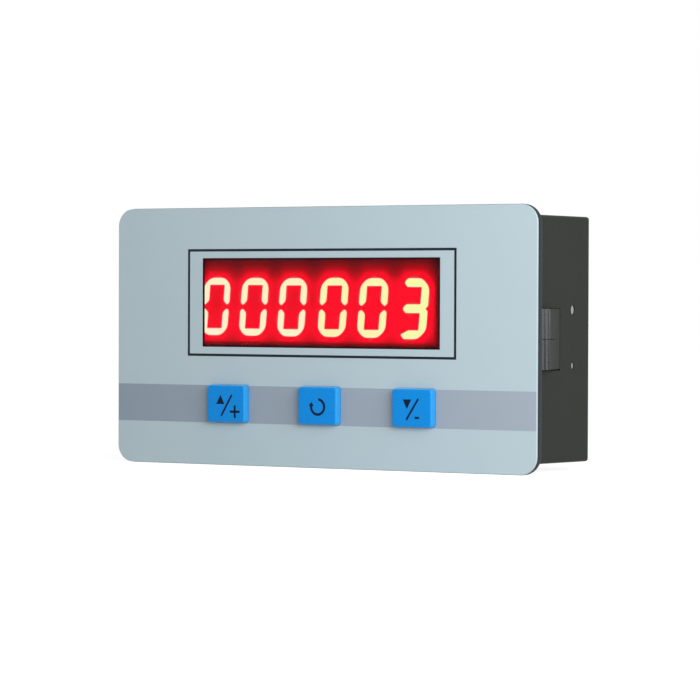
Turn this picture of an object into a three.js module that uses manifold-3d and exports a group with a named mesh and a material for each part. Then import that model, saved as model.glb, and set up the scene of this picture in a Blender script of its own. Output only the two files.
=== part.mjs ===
// Panel-mounting digital counter: six lit digits and three keys in a snap-in case.
// Millimetres. +X is to the right as one faces it, +Y goes back into the panel, +Z is up.
// The origin is at the bottom centre of the whole module.

import * as THREE from "three";
import { mergeVertices } from "three/addons/utils/BufferGeometryUtils.js";
import Module from "manifold-3d";

const wasm = await Module();
wasm.setup();

// Overall sizes
const faceWidth = 79;
const faceHeight = 42;
const faceCornerRadius = 3;
const moduleDepth = 24;
const keyProud = 1.3;

// Values shared by many pieces
const overrun = 1;
const embed = 0.2;
const slideClearance = 0.15;
const holeClearance = 0.15;
const cornerSteps = 4;
const edgeSteps = 2;
const roundSides = 20;
const smallSides = 6;

// Where the face, the rear and the middle lie
const centreZ = faceHeight / 2;
const faceY = keyProud - moduleDepth / 2;
const keyFrontY = faceY - keyProud;
const rearY = moduleDepth / 2;

// Case: the flange stands out round the body, which goes through the panel
const overlayThickness = 0.3;
const overlayInset = 0.05;
const flangeThickness = 1.05;
const flangeSideOverhang = 2.85;
const flangeTopOverhang = 1.55;
const wall = 1.6;
const frontWall = 1.6;
const bodyCornerRadius = 0.5;
const innerCornerRadius = 0.4;
const rearEdgeRadius = 0.25;
const flangeFrontY = faceY + overlayThickness;
const flangeRearY = flangeFrontY + flangeThickness;
const frontWallRearY = flangeFrontY + frontWall;
const bodyWidth = faceWidth - 2 * flangeSideOverhang;
const bodyHeight = faceHeight - 2 * flangeTopOverhang;
const bodySideX = bodyWidth / 2;
const innerWidth = bodyWidth - 2 * wall;
const innerHeight = bodyHeight - 2 * wall;

// Window and the red filter behind it
const windowWidth = 44.6;
const windowHeight = 14.4;
const windowX = -0.28;
const windowRiseShare = 0.132;
const windowZ = centreZ + windowRiseShare * faceHeight;
const openingMargin = 0.2;
const filterThickness = 0.5;
const filterSeat = 1;
const filterGap = 0.1;
const filterFrontY = flangeFrontY + filterGap;
const filterRearY = filterFrontY + filterThickness;

// Display modules: three digits each, side by side
const digitsPerDisplay = 3;
const digitPitch = 7.38;
const digitHeight = 9.26;
const digitWidth = 5;
const digitSlantDegrees = 5;
const segmentThickness = 1.1;
const segmentGap = 0.22;
const segmentClearance = 0.06;
const pointRadius = 0.45;
const pointSpace = 0.25;
const displayHeight = 14;
const displayDepth = 7.2;
const displayPitch = 22.5;
const displaySideGap = 0.1;
const displayX = -2;
const displayDrop = 0.7;
const displayWall = 0.8;
const displayFilterGap = 0.3;
const segmentRecess = 0.1;
const segmentDepth = 4.6;
const segmentSlab = 0.8;
const ledBoardThickness = 1;
const ledBoardInset = 0.2;
const pinsPerRow = 6;
const pinPitch = 2.54;
const pinRowSpacing = 10.16;
const pinRadius = 0.26;
const pinTail = 1.2;
const displayWidth = displayPitch - displaySideGap;
const displayZ = windowZ - displayDrop;
const displaySides = [["left", displayX - displayPitch / 2], ["right", displayX + displayPitch / 2]];

// Keys: a cap stands through the face and a stop flange keeps it in
const keyWidth = 7.35;
const keyHeight = 6.1;
const keyCornerRadius = 0.6;
const keyEdgeRadius = 0.45;
const keyPitch = 17.46;
const keyX = 0.2;
const keyDropShare = 0.2605;
const keyStopGap = 0.3;
const keyStopMargin = 0.7;
const keyStopThickness = 0.8;
const keyStemSize = 4;
const keyStemLength = 0.4;
const keyZ = centreZ - keyDropShare * faceHeight;
const keyStopY = frontWallRearY + keyStopGap;
const keyStopRearY = keyStopY + keyStopThickness;
const keyRearY = keyStopRearY + keyStemLength;
const keys = [["plus", keyX - keyPitch], ["return", keyX], ["minus", keyX + keyPitch]];

// Tactile switches under the keys
const switchSize = 6;
const switchBaseHeight = 3.1;
const switchPlateThickness = 0.3;
const switchFloor = 1;
const switchBoreRadius = 2.5;
const switchDomeGap = 0.05;
const domeRadius = 2.1;
const domeThickness = 0.12;
const domeRise = 0.75;
const domeSteps = 4;
const plungerRadius = 1.7;
const plungerFlangeRadius = 2.2;
const plungerFlangeThickness = 0.75;
const plungerFlangeGap = 0.1;
const plungerShowing = 1.2;
const legThickness = 0.3;
const legWidth = 0.7;
const legSpacing = 4.5;
const legTail = 1;
const legRise = 1.5;

// Circuit board: it stands behind the taller of the displays and the switches
const boardThickness = 1.6;
const boardSideGap = 1;
const boardTopGap = 0.8;
const displayFrontLimitY = filterRearY + displayFilterGap;
const boardFrontY = Math.max(
  displayFrontLimitY + displayDepth,
  keyRearY + plungerShowing + switchPlateThickness + switchBaseHeight,
);
const boardRearY = boardFrontY + boardThickness;
const displayFrontY = boardFrontY - displayDepth;
const boardWidth = innerWidth - 2 * boardSideGap;
const boardHeight = innerHeight - 2 * boardTopGap;

// Screws and the bosses that take them
const screwInset = 3;
const screwShankRadius = 0.95;
const screwLength = 5;
const screwHeadRadius = 1.8;
const screwHeadHeight = 1.2;
const screwCrossWidth = 0.5;
const screwCrossLength = 2;
const screwCrossDepth = 0.6;
const bossRadius = 2.2;
const bossDrillSpare = 0.6;
const screwX = boardWidth / 2 - screwInset;
const screwRise = boardHeight / 2 - screwInset;
const screwPlaces = [
  ["left_top", -screwX, centreZ + screwRise],
  ["right_top", screwX, centreZ + screwRise],
  ["left_bottom", -screwX, centreZ - screwRise],
  ["right_bottom", screwX, centreZ - screwRise],
];

// Header for the lead, on the back of the board
const headerPins = 5;
const headerPitch = 2.5;
const headerEnd = 2.45;
const headerDepth = 5.75;
const headerLength = 7;
const headerWall = 0.9;
const headerFloor = 2;
const headerPinSize = 0.64;
const headerPinRise = 5.9;
const headerPinTail = 1;
const headerSlotWidth = 1.2;
const headerSlotDepth = 4;
const headerDropShare = 0.119;
const headerWidth = (headerPins - 1) * headerPitch + 2 * headerEnd;
const headerZ = centreZ - headerDropShare * faceHeight;
const headerPinX = (index) => (index - (headerPins - 1) / 2) * headerPitch;

// Side clips: two sprung fingers with saw teeth, hinged at the rear end
const clipThickness = 1.2;
const clipHeight = 9.6;
const clipSlot = 0.15;
const clipSlit = 0.2;
const clipSlitRootLength = 3;
const clipRootGap = 0.15;
const clipFrontGap = 0.6;
const clipNoseGap = 0.7;
const clipPeakDepth = 5.7;
const clipPeakProud = 1.75;
const clipNoseProud = 0.75;
const clipToothCount = 3;
const clipToothPitch = 0.8;
const clipToothStep = 0.22;
const clipToothDrop = 0.36;
const clipRampEnd = 0.3;
const clipHingeDepth = 12.6;
const clipHingeX = bodySideX - clipThickness / 2;
const clipHingeY = faceY + clipHingeDepth;
const clipFrontY = frontWallRearY + clipNoseGap;
const clipWindowFrontY = clipFrontY - clipFrontGap;
const clipWindowRearY = clipHingeY + clipThickness / 2 + clipRootGap;

// Rear cover: it sits in a step of the case and snaps in with two nubs on each arm
const coverThickness = 1.6;
const coverLedge = 0.7;
const coverCornerRadius = 0.4;
const coverArmThickness = 1.2;
const coverArmReach = 1.7;
const coverArmMargin = 2.4;
const portMargin = 0.85;
const nubInset = 0.12;
const nubPlaceShare = 0.476;
const upperNubRadius = 0.75;
const lowerNubRadius = 0.55;
const upperNubRise = 4.56;
const lowerNubDrop = 4.3;
const coverFrontY = rearY - coverThickness;
const nubY = clipWindowRearY + nubPlaceShare * (coverFrontY - clipWindowRearY);
const coverArmFrontY = nubY - coverArmReach;
const armOuterX = innerWidth / 2 - slideClearance;
const nubs = [[upperNubRadius, centreZ + upperNubRise], [lowerNubRadius, centreZ - lowerNubDrop]];

// Parts on the back of the board; each place is a share of half the board from its middle
const chipStandoff = 0.1;
const leadThickness = 0.2;
const leadFoot = 0.6;
const leadReach = 0.5;
const terminalWrap = 0.5;
const wideChipLength = 12.8;
const wideChipWidth = 7.5;
const wideChipHeight = 2.3;
const fineLeadPitch = 1.27;
const fineLeadWidth = 0.42;
const memoryLength = 4.9;
const memoryWidth = 3.9;
const memoryHeight = 1.6;
const optocouplerLength = 4.6;
const optocouplerWidth = 6.5;
const optocouplerHeight = 3.5;
const optocouplerLeadPitch = 2.54;
const optocouplerLeadWidth = 0.5;
const regulatorLength = 4.5;
const regulatorWidth = 2.5;
const regulatorHeight = 1.5;
const regulatorLeadPitch = 1.5;
const regulatorLeadWidth = 0.45;
const wideChip = {
  length: wideChipLength,
  width: wideChipWidth,
  height: wideChipHeight,
  leads: 10,
  leadPitch: fineLeadPitch,
  leadWidth: fineLeadWidth,
};
const chips = [
  { name: "microcontroller", ...wideChip, acrossShare: -0.79, upShare: 0.28 },
  { name: "led_driver", ...wideChip, acrossShare: 0.79, upShare: 0.28 },
  {
    name: "memory_chip",
    length: memoryLength,
    width: memoryWidth,
    height: memoryHeight,
    leads: 4,
    leadPitch: fineLeadPitch,
    leadWidth: fineLeadWidth,
    acrossShare: -0.8,
    upShare: -0.42,
  },
  {
    name: "optocoupler",
    length: optocouplerLength,
    width: optocouplerWidth,
    height: optocouplerHeight,
    leads: 2,
    leadPitch: optocouplerLeadPitch,
    leadWidth: optocouplerLeadWidth,
    acrossShare: 0.42,
    upShare: -0.3,
    upright: true,
  },
  {
    name: "voltage_regulator",
    length: regulatorLength,
    width: regulatorWidth,
    height: regulatorHeight,
    leads: 3,
    leadPitch: regulatorLeadPitch,
    leadWidth: regulatorLeadWidth,
    acrossShare: -0.37,
    upShare: -0.3,
  },
];

// Capacitor cans: the tall one leaves a set headroom under the rear cover
const inputCanRadius = 3.15;
const inputCanHeadroom = 3.4;
const outputCanRadius = 2.5;
const outputCanHeight = 5.4;
const canBaseHeight = 0.9;
const canBaseMargin = 0.15;
const canEdge = 0.4;
const inputCanHeight = coverFrontY - boardRearY - inputCanHeadroom;
const cans = [
  {
    name: "input_capacitor",
    radius: inputCanRadius,
    height: inputCanHeight,
    acrossShare: 0.76,
    upShare: -0.36,
  },
  {
    name: "output_capacitor",
    radius: outputCanRadius,
    height: outputCanHeight,
    acrossShare: 0.62,
    upShare: 0.76,
  },
];

// Small blocks with metal ends: a diode, resistors and ceramic capacitors
const diodeLength = 4.3;
const diodeWidth = 2.6;
const diodeHeight = 2.2;
const smallPartLength = 3.2;
const smallPartWidth = 1.6;
const resistorHeight = 0.6;
const ceramicHeight = 1.2;
const smallPartRowShare = 0.82;
const resistorShares = [-0.36, -0.22, -0.08, 0.06];
const ceramicShares = [0.22, 0.38];
const blocks = [
  {
    name: "protection_diode",
    length: diodeLength,
    width: diodeWidth,
    height: diodeHeight,
    finish: "black",
    acrossShare: -0.66,
    upShare: 0.8,
  },
  ...resistorShares.map((acrossShare, index) => ({
    name: `resistor_${index + 1}`,
    length: smallPartLength,
    width: smallPartWidth,
    height: resistorHeight,
    finish: "glazed",
    acrossShare,
    upShare: smallPartRowShare,
  })),
  ...ceramicShares.map((acrossShare, index) => ({
    name: `ceramic_capacitor_${index + 1}`,
    length: smallPartLength,
    width: smallPartWidth,
    height: ceramicHeight,
    finish: "ceramic",
    acrossShare,
    upShare: smallPartRowShare,
  })),
];

// Materials
function material(color, roughness, metalness = 0) {
  return new THREE.MeshStandardMaterial({ color, roughness, metalness });
}

const printedFilm = () => material(0xb3c6cd, 0.45);
const darkCasePlastic = () => material(0x40423f, 0.55);
const redAcrylic = () => material(0xc01020, 0.15);
const blackReflector = () => material(0x2a1012, 0.6);
const redEpoxy = () => material(0xff2a20, 0.3);
const blueKeyPlastic = () => material(0x1c87d7, 0.35);
const boardLaminate = () => material(0x1f6b3a, 0.5);
const blackPlastic = () => material(0x1b1c1d, 0.5);
const whiteNylon = () => material(0xe9e6dc, 0.5);
const tinnedMetal = () => material(0xc9ccce, 0.3, 1);
const zincSteel = () => material(0xb4b7ba, 0.35, 1);
const canAluminium = () => material(0xd2d5d8, 0.3, 1);
const resistorBody = () => material(0x23262b, 0.6);
const capacitorCeramic = () => material(0xa98a63, 0.6);
const blockFinishes = { black: blackPlastic, glazed: resistorBody, ceramic: capacitorCeramic };

// Solids: closed meshes that can be joined and cut
function toSolid(geometry) {
  geometry.deleteAttribute("normal");
  geometry.deleteAttribute("uv");
  const merged = mergeVertices(geometry);
  return new wasm.Manifold(new wasm.Mesh({
    numProp: 3,
    vertProperties: Float32Array.from(merged.attributes.position.array),
    triVerts: Uint32Array.from(merged.index.array),
  }));
}

function toGeometry(solid) {
  const mesh = solid.getMesh();
  const geometry = new THREE.BufferGeometry();
  geometry.setAttribute("position", new THREE.BufferAttribute(mesh.vertProperties, 3));
  geometry.setIndex(new THREE.BufferAttribute(mesh.triVerts, 1));
  geometry.computeVertexNormals();
  return geometry;
}

function join(solids) {
  return solids.reduce((whole, next) => whole.add(next));
}

function cut(solid, tools) {
  return tools.reduce((rest, tool) => rest.subtract(tool), solid);
}

// Outlines in the plane of the face: points (x, z)
function boxOutline(width, height, x, z) {
  return [
    new THREE.Vector2(x - width / 2, z - height / 2),
    new THREE.Vector2(x + width / 2, z - height / 2),
    new THREE.Vector2(x + width / 2, z + height / 2),
    new THREE.Vector2(x - width / 2, z + height / 2),
  ];
}

function roundedOutline(width, height, radius, x, z) {
  const corners = [[1, -1, 3], [1, 1, 0], [-1, 1, 1], [-1, -1, 2]];
  return corners.flatMap(([sideX, sideZ, quarter]) => {
    const cornerX = x + sideX * (width / 2 - radius);
    const cornerZ = z + sideZ * (height / 2 - radius);
    return Array.from({ length: cornerSteps + 1 }, (_, step) => {
      const angle = (quarter + step / cornerSteps) * Math.PI / 2;
      return new THREE.Vector2(cornerX + radius * Math.cos(angle), cornerZ + radius * Math.sin(angle));
    });
  });
}

function circleOutline(radius, x, z, sides) {
  return Array.from({ length: sides }, (_, side) => {
    const angle = 2 * Math.PI * side / sides;
    return new THREE.Vector2(x + radius * Math.cos(angle), z + radius * Math.sin(angle));
  });
}

// A plate between two depths; the outline lies in the plane of the face
function plateGeometry(outline, frontY, backY, edge = 0) {
  const geometry = new THREE.ExtrudeGeometry(new THREE.Shape(outline), {
    depth: backY - frontY - 2 * edge,
    bevelEnabled: edge > 0,
    bevelSize: edge,
    bevelThickness: edge,
    bevelOffset: -edge,
    bevelSegments: edgeSteps,
  });
  geometry.rotateX(Math.PI / 2);
  geometry.translate(0, backY - edge, 0);
  return geometry;
}

function plate(outline, frontY, backY, edge = 0) {
  return toSolid(plateGeometry(outline, frontY, backY, edge));
}

// A round post along the depth, or across from the middle of the case outwards
function post(radius, frontY, backY, x, z, sides = roundSides) {
  const geometry = new THREE.CylinderGeometry(radius, radius, backY - frontY, sides);
  geometry.translate(x, (frontY + backY) / 2, z);
  return toSolid(geometry);
}

function crossPost(radius, fromX, toX, y, z) {
  const geometry = new THREE.CylinderGeometry(radius, radius, Math.abs(toX - fromX), roundSides);
  geometry.rotateZ(Math.PI / 2);
  geometry.translate((fromX + toX) / 2, y, z);
  return toSolid(geometry);
}

// A block between two opposite corners
function block(fromX, toX, frontY, backY, lowZ, highZ) {
  const geometry = new THREE.BoxGeometry(Math.abs(toX - fromX), backY - frontY, highZ - lowZ);
  geometry.translate((fromX + toX) / 2, (frontY + backY) / 2, (lowZ + highZ) / 2);
  return toSolid(geometry);
}

// A turned piece round a line along the depth; the profile holds (radius, y) from front to back
function turned(profile, x, z, sides = roundSides) {
  const points = profile.map(([radius, y]) => new THREE.Vector2(radius, y));
  const geometry = new THREE.LatheGeometry(points, sides);
  geometry.translate(x, 0, z);
  return toSolid(geometry);
}

const counter = new THREE.Group();

function addPiece(name, solid, pieceMaterial) {
  const mesh = new THREE.Mesh(toGeometry(solid), pieceMaterial);
  mesh.name = name;
  counter.add(mesh);
}

// Openings shared by the overlay and the case
const displayLeftX = displayX - displayPitch / 2 - displayWidth / 2;
const displayRightX = displayX + displayPitch / 2 + displayWidth / 2;
const openingLeftX = Math.min(displayLeftX, windowX - windowWidth / 2) - openingMargin;
const openingRightX = Math.max(displayRightX, windowX + windowWidth / 2) + openingMargin;
const openingLowZ = Math.min(displayZ - displayHeight / 2, windowZ - windowHeight / 2) - openingMargin;
const openingHighZ = Math.max(displayZ + displayHeight / 2, windowZ + windowHeight / 2) + openingMargin;

function keyHole(x, frontY, backY) {
  const width = keyWidth + 2 * slideClearance;
  const height = keyHeight + 2 * slideClearance;
  return plate(roundedOutline(width, height, keyCornerRadius, x, keyZ), frontY, backY);
}

// Face overlay: a printed film with the window and the key openings
function addOverlay() {
  const width = faceWidth - 2 * overlayInset;
  const height = faceHeight - 2 * overlayInset;
  const film = plate(
    roundedOutline(width, height, faceCornerRadius - overlayInset, 0, centreZ),
    faceY,
    flangeFrontY,
  );
  const windowHole = plate(
    boxOutline(windowWidth, windowHeight, windowX, windowZ),
    faceY - overrun,
    flangeFrontY + overrun,
  );
  const keyHoles = keys.map(([, x]) => keyHole(x, faceY - overrun, flangeFrontY + overrun));
  addPiece("face_overlay", cut(film, [windowHole, ...keyHoles]), printedFilm());
}

// Red filter: it lies in a recess of the case, behind the overlay
function filterPlate(clearance, frontY) {
  const reach = filterSeat + clearance;
  return block(
    openingLeftX - reach,
    openingRightX + reach,
    frontY,
    filterRearY,
    openingLowZ - reach,
    openingHighZ + reach,
  );
}

function addFilter() {
  addPiece("window_filter", filterPlate(0, filterFrontY), redAcrylic());
}

// Case
function clipWindow(side) {
  const halfHeight = clipHeight / 2 + clipSlot;
  return block(
    side * (innerWidth / 2 - overrun),
    side * (bodySideX + overrun),
    clipWindowFrontY,
    clipWindowRearY,
    centreZ - halfHeight,
    centreZ + halfHeight,
  );
}

function nubHoles(side) {
  return nubs.map(([radius, z]) => crossPost(
    radius + holeClearance,
    side * (innerWidth / 2 - overrun),
    side * (bodySideX + overrun),
    nubY,
    z,
  ));
}

function addCase() {
  const flange = plate(
    roundedOutline(faceWidth, faceHeight, faceCornerRadius, 0, centreZ),
    flangeFrontY,
    flangeRearY,
  );
  const body = plate(
    roundedOutline(bodyWidth, bodyHeight, bodyCornerRadius, 0, centreZ),
    flangeFrontY,
    rearY,
    rearEdgeRadius,
  );
  const inside = plate(
    roundedOutline(innerWidth, innerHeight, innerCornerRadius, 0, centreZ),
    frontWallRearY,
    rearY + overrun,
  );
  const coverStep = plate(
    roundedOutline(innerWidth + 2 * coverLedge, innerHeight + 2 * coverLedge, coverCornerRadius, 0, centreZ),
    coverFrontY,
    rearY + overrun,
  );
  const opening = block(
    openingLeftX,
    openingRightX,
    flangeFrontY - overrun,
    frontWallRearY + overrun,
    openingLowZ,
    openingHighZ,
  );
  const filterRecess = join([
    filterPlate(slideClearance, filterFrontY),
    filterPlate(slideClearance, flangeFrontY - overrun),
  ]);
  const hollowed = cut(join([flange, body]), [
    inside,
    coverStep,
    opening,
    filterRecess,
    ...keys.map(([, x]) => keyHole(x, flangeFrontY - overrun, frontWallRearY + overrun)),
    ...[-1, 1].map(clipWindow),
    ...[-1, 1].flatMap(nubHoles),
  ]);
  const bosses = screwPlaces.map(([, x, z]) => post(bossRadius, frontWallRearY - embed, boardFrontY, x, z));
  const drillDepth = screwLength - boardThickness + bossDrillSpare;
  const drills = screwPlaces.map(([, x, z]) => post(
    screwShankRadius + holeClearance,
    boardFrontY - drillDepth,
    boardFrontY + overrun,
    x,
    z,
  ));
  addPiece("front_case", cut(join([hollowed, ...bosses]), drills), darkCasePlastic());
}

// Digit segments: six-sided bars round two squares, one in the middle, leaning to the right
function segmentBars(thickness, gap) {
  const halfWidth = (digitWidth - segmentThickness) / 2;
  const halfHeight = (digitHeight - segmentThickness) / 2;
  const half = thickness / 2;
  const level = (z) => [
    [-halfWidth + gap, z],
    [-halfWidth + gap + half, z - half],
    [halfWidth - gap - half, z - half],
    [halfWidth - gap, z],
    [halfWidth - gap - half, z + half],
    [-halfWidth + gap + half, z + half],
  ];
  const upright = (x, lowZ) => [
    [x, lowZ + gap],
    [x + half, lowZ + gap + half],
    [x + half, lowZ + halfHeight - gap - half],
    [x, lowZ + halfHeight - gap],
    [x - half, lowZ + halfHeight - gap - half],
    [x - half, lowZ + gap + half],
  ];
  return [
    level(halfHeight),
    level(0),
    level(-halfHeight),
    upright(-halfWidth, 0),
    upright(halfWidth, 0),
    upright(-halfWidth, -halfHeight),
    upright(halfWidth, -halfHeight),
  ];
}

function digitOutlines(x, clearance) {
  const slant = Math.tan(THREE.MathUtils.degToRad(digitSlantDegrees));
  const place = ([barX, barZ]) => new THREE.Vector2(x + barX + barZ * slant, displayZ + barZ);
  const bars = segmentBars(
    segmentThickness + 2 * clearance,
    segmentGap - clearance * Math.SQRT2,
  );
  const pointX = digitWidth / 2 + pointSpace + pointRadius;
  const pointZ = (segmentThickness - digitHeight) / 2;
  const point = circleOutline(pointRadius + clearance, pointX, pointZ, 2 * smallSides);
  return [...bars.map((bar) => bar.map(place)), point.map(({ x: px, y: pz }) => place([px, pz]))];
}

function digitCentres(moduleX) {
  return Array.from(
    { length: digitsPerDisplay },
    (_, index) => moduleX + (index - (digitsPerDisplay - 1) / 2) * digitPitch,
  );
}

// Display modules
const pocketFrontY = displayFrontY + segmentDepth;
const slabFrontY = pocketFrontY + segmentClearance;
const slabRearY = slabFrontY + segmentSlab;
const ledBoardRearY = boardFrontY - ledBoardInset;
const ledBoardFrontY = ledBoardRearY - ledBoardThickness;
const pocketWidth = displayWidth - 2 * displayWall;
const pocketHeight = displayHeight - 2 * displayWall;
const pinOffsets = Array.from({ length: pinsPerRow }, (_, index) => (index - (pinsPerRow - 1) / 2) * pinPitch);
const pinPlaces = (moduleX) => pinOffsets.flatMap((offset) => [
  [moduleX + offset, displayZ - pinRowSpacing / 2],
  [moduleX + offset, displayZ + pinRowSpacing / 2],
]);

function addDisplayShell(side, x) {
  const shell = plate(boxOutline(displayWidth, displayHeight, x, displayZ), displayFrontY, boardFrontY);
  const pocket = plate(boxOutline(pocketWidth, pocketHeight, x, displayZ), pocketFrontY, boardFrontY + overrun);
  const wells = digitCentres(x)
    .flatMap((centre) => digitOutlines(centre, segmentClearance))
    .map((outline) => plate(outline, displayFrontY - overrun, pocketFrontY + overrun));
  addPiece(`${side}_display_shell`, cut(shell, [pocket, ...wells]), blackReflector());
}

function addDisplaySegments(side, x) {
  const slab = plate(
    boxOutline(pocketWidth - 2 * slideClearance, pocketHeight - 2 * slideClearance, x, displayZ),
    slabFrontY,
    slabRearY,
  );
  const guides = digitCentres(x)
    .flatMap((centre) => digitOutlines(centre, 0))
    .map((outline) => plate(outline, displayFrontY + segmentRecess, slabFrontY + segmentSlab / 2));
  addPiece(`${side}_display_segments`, join([slab, ...guides]), redEpoxy());
}

function addLedBoard(side, x) {
  const laminate = plate(
    boxOutline(pocketWidth - 2 * slideClearance, pocketHeight - 2 * slideClearance, x, displayZ),
    ledBoardFrontY,
    ledBoardRearY,
  );
  const pins = pinPlaces(x).map(([pinX, pinZ]) => plate(
    circleOutline(pinRadius, pinX, pinZ, smallSides),
    ledBoardFrontY + ledBoardThickness / 2,
    boardRearY + pinTail,
  ));
  addPiece(`${side}_display_board`, join([laminate, ...pins]), boardLaminate());
}

// Tactile switches and the keys over them
const switchFrontY = boardFrontY - switchBaseHeight;
const switchPlateFrontY = switchFrontY - switchPlateThickness;
const domeRimY = boardFrontY - switchFloor - switchDomeGap - domeThickness;
const plungerFlangeFrontY = switchFrontY + plungerFlangeGap;
const legPlaces = (x) => [-1, 1].flatMap((sideX) => [-1, 1].map((sideZ) => [
  x + sideX * (switchSize + legThickness) / 2,
  keyZ + sideZ * legSpacing / 2,
]));

function addSwitchBase(name, x) {
  const base = plate(boxOutline(switchSize, switchSize, x, keyZ), switchFrontY, boardFrontY);
  const bore = post(switchBoreRadius, switchFrontY - overrun, boardFrontY - switchFloor, x, keyZ);
  const legs = legPlaces(x).map(([legX, legZ]) => plate(
    boxOutline(legThickness + 2 * embed, legWidth, legX, legZ),
    boardFrontY - legRise,
    boardFrontY - switchFloor / 2,
  ));
  const tails = legPlaces(x).map(([legX, legZ]) => plate(
    boxOutline(legThickness, legWidth, legX, legZ),
    boardFrontY - legRise,
    boardRearY + legTail,
  ));
  addPiece(`${name}_switch_base`, join([cut(base, [bore]), ...legs, ...tails]), blackPlastic());
}

function addSwitchPlate(name, x) {
  const cover = plate(boxOutline(switchSize, switchSize, x, keyZ), switchPlateFrontY, switchFrontY);
  const hole = post(plungerRadius + holeClearance, switchPlateFrontY - overrun, switchFrontY + overrun, x, keyZ);
  addPiece(`${name}_switch_plate`, cut(cover, [hole]), tinnedMetal());
}

function addSwitchDome(name, x) {
  const arc = Array.from({ length: domeSteps + 1 }, (_, step) => step / domeSteps);
  const front = arc.map((share) => [
    domeRadius * Math.sin(share * Math.PI / 2),
    domeRimY - domeRise * Math.cos(share * Math.PI / 2),
  ]);
  const back = front.map(([radius, y]) => [radius, y + domeThickness]).reverse();
  addPiece(`${name}_switch_dome`, turned([...front, ...back], x, keyZ), tinnedMetal());
}

function addPlunger(name, x) {
  const flangeRearY = plungerFlangeFrontY + plungerFlangeThickness;
  const plunger = turned([
    [0, keyRearY],
    [plungerRadius, keyRearY],
    [plungerRadius, plungerFlangeFrontY],
    [plungerFlangeRadius, plungerFlangeFrontY],
    [plungerFlangeRadius, flangeRearY],
    [0, flangeRearY],
  ], x, keyZ);
  addPiece(`${name}_switch_plunger`, plunger, blackPlastic());
}

function addKeyCap(name, x) {
  const cap = plate(
    roundedOutline(keyWidth, keyHeight, keyCornerRadius, x, keyZ),
    keyFrontY,
    keyStopRearY,
    keyEdgeRadius,
  );
  const stop = plate(
    boxOutline(keyWidth + 2 * keyStopMargin, keyHeight + 2 * keyStopMargin, x, keyZ),
    keyStopY,
    keyStopRearY,
  );
  const stem = plate(boxOutline(keyStemSize, keyStemSize, x, keyZ), keyStopRearY - embed, keyRearY);
  addPiece(`${name}_key`, join([cap, stop, stem]), blueKeyPlastic());
}

// Circuit board with a hole for each pin, leg and screw
function addCircuitBoard() {
  const holes = [
    ...displaySides.flatMap(([, x]) => pinPlaces(x)).map(([x, z]) => [pinRadius + holeClearance, x, z, smallSides]),
    ...keys.flatMap(([, x]) => legPlaces(x)).map(([x, z]) => [legWidth / 2 + 2 * holeClearance, x, z, smallSides]),
    ...Array.from({ length: headerPins }, (_, index) => (
      [headerPinSize * Math.SQRT1_2 + holeClearance, headerPinX(index), headerZ, smallSides]
    )),
    ...screwPlaces.map(([, x, z]) => [screwShankRadius + 2 * holeClearance, x, z, roundSides]),
  ];
  const outline = new THREE.Shape(boxOutline(boardWidth, boardHeight, 0, centreZ));
  outline.holes = holes.map(([radius, x, z, sides]) => new THREE.Path(circleOutline(radius, x, z, sides)));
  const geometry = new THREE.ExtrudeGeometry(outline, { depth: boardThickness, bevelEnabled: false });
  geometry.rotateX(Math.PI / 2);
  geometry.translate(0, boardRearY, 0);
  addPiece("circuit_board", toSolid(geometry), boardLaminate());
}

// Parts on the back of the board
function boardPlace({ acrossShare, upShare }) {
  return [acrossShare * boardWidth / 2, centreZ + upShare * boardHeight / 2];
}

// A lead bent down from the side of a chip to a foot on the board, drawn as (height, outward)
function leadSolid(chip, along, sideways) {
  const shoulder = chip.height / 2;
  const root = chip.width / 2 - embed;
  const knee = chip.width / 2 + leadReach;
  const tip = knee + leadFoot;
  const outline = new THREE.Shape([
    new THREE.Vector2(shoulder, root),
    new THREE.Vector2(shoulder, knee),
    new THREE.Vector2(leadThickness, knee),
    new THREE.Vector2(leadThickness, tip),
    new THREE.Vector2(0, tip),
    new THREE.Vector2(0, knee - leadThickness),
    new THREE.Vector2(shoulder - leadThickness, knee - leadThickness),
    new THREE.Vector2(shoulder - leadThickness, root),
  ]);
  const geometry = new THREE.ExtrudeGeometry(outline, { depth: chip.leadWidth, bevelEnabled: false });
  geometry.translate(0, 0, along - chip.leadWidth / 2);
  const toBoard = new THREE.Matrix4().makeBasis(
    new THREE.Vector3(0, 1, 0),
    new THREE.Vector3(0, 0, 1),
    new THREE.Vector3(1, 0, 0),
  );
  geometry.applyMatrix4(toBoard);
  if (sideways < 0) geometry.rotateY(Math.PI);
  return geometry;
}

function addChip(chip) {
  const [x, z] = boardPlace(chip);
  const body = new THREE.BoxGeometry(chip.length, chip.height - chipStandoff, chip.width);
  body.translate(0, (chip.height + chipStandoff) / 2, 0);
  const leads = Array.from({ length: chip.leads }, (_, index) => (index - (chip.leads - 1) / 2) * chip.leadPitch)
    .flatMap((along) => [leadSolid(chip, along, 1), leadSolid(chip, along, -1)]);
  const pieces = [body, ...leads].map((geometry) => {
    if (chip.upright) geometry.rotateY(Math.PI / 2);
    geometry.translate(x, boardRearY, z);
    return toSolid(geometry);
  });
  addPiece(chip.name, join(pieces), blackPlastic());
}

function addCan(can) {
  const [x, z] = boardPlace(can);
  const baseSize = 2 * (can.radius + canBaseMargin);
  const base = plate(boxOutline(baseSize, baseSize, x, z), boardRearY, boardRearY + canBaseHeight);
  const topY = boardRearY + can.height;
  const body = turned([
    [0, boardRearY + canBaseHeight - embed],
    [can.radius, boardRearY + canBaseHeight - embed],
    [can.radius, topY - canEdge],
    [can.radius - canEdge, topY],
    [0, topY],
  ], x, z);
  addPiece(can.name, join([base, body]), canAluminium());
}

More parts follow.
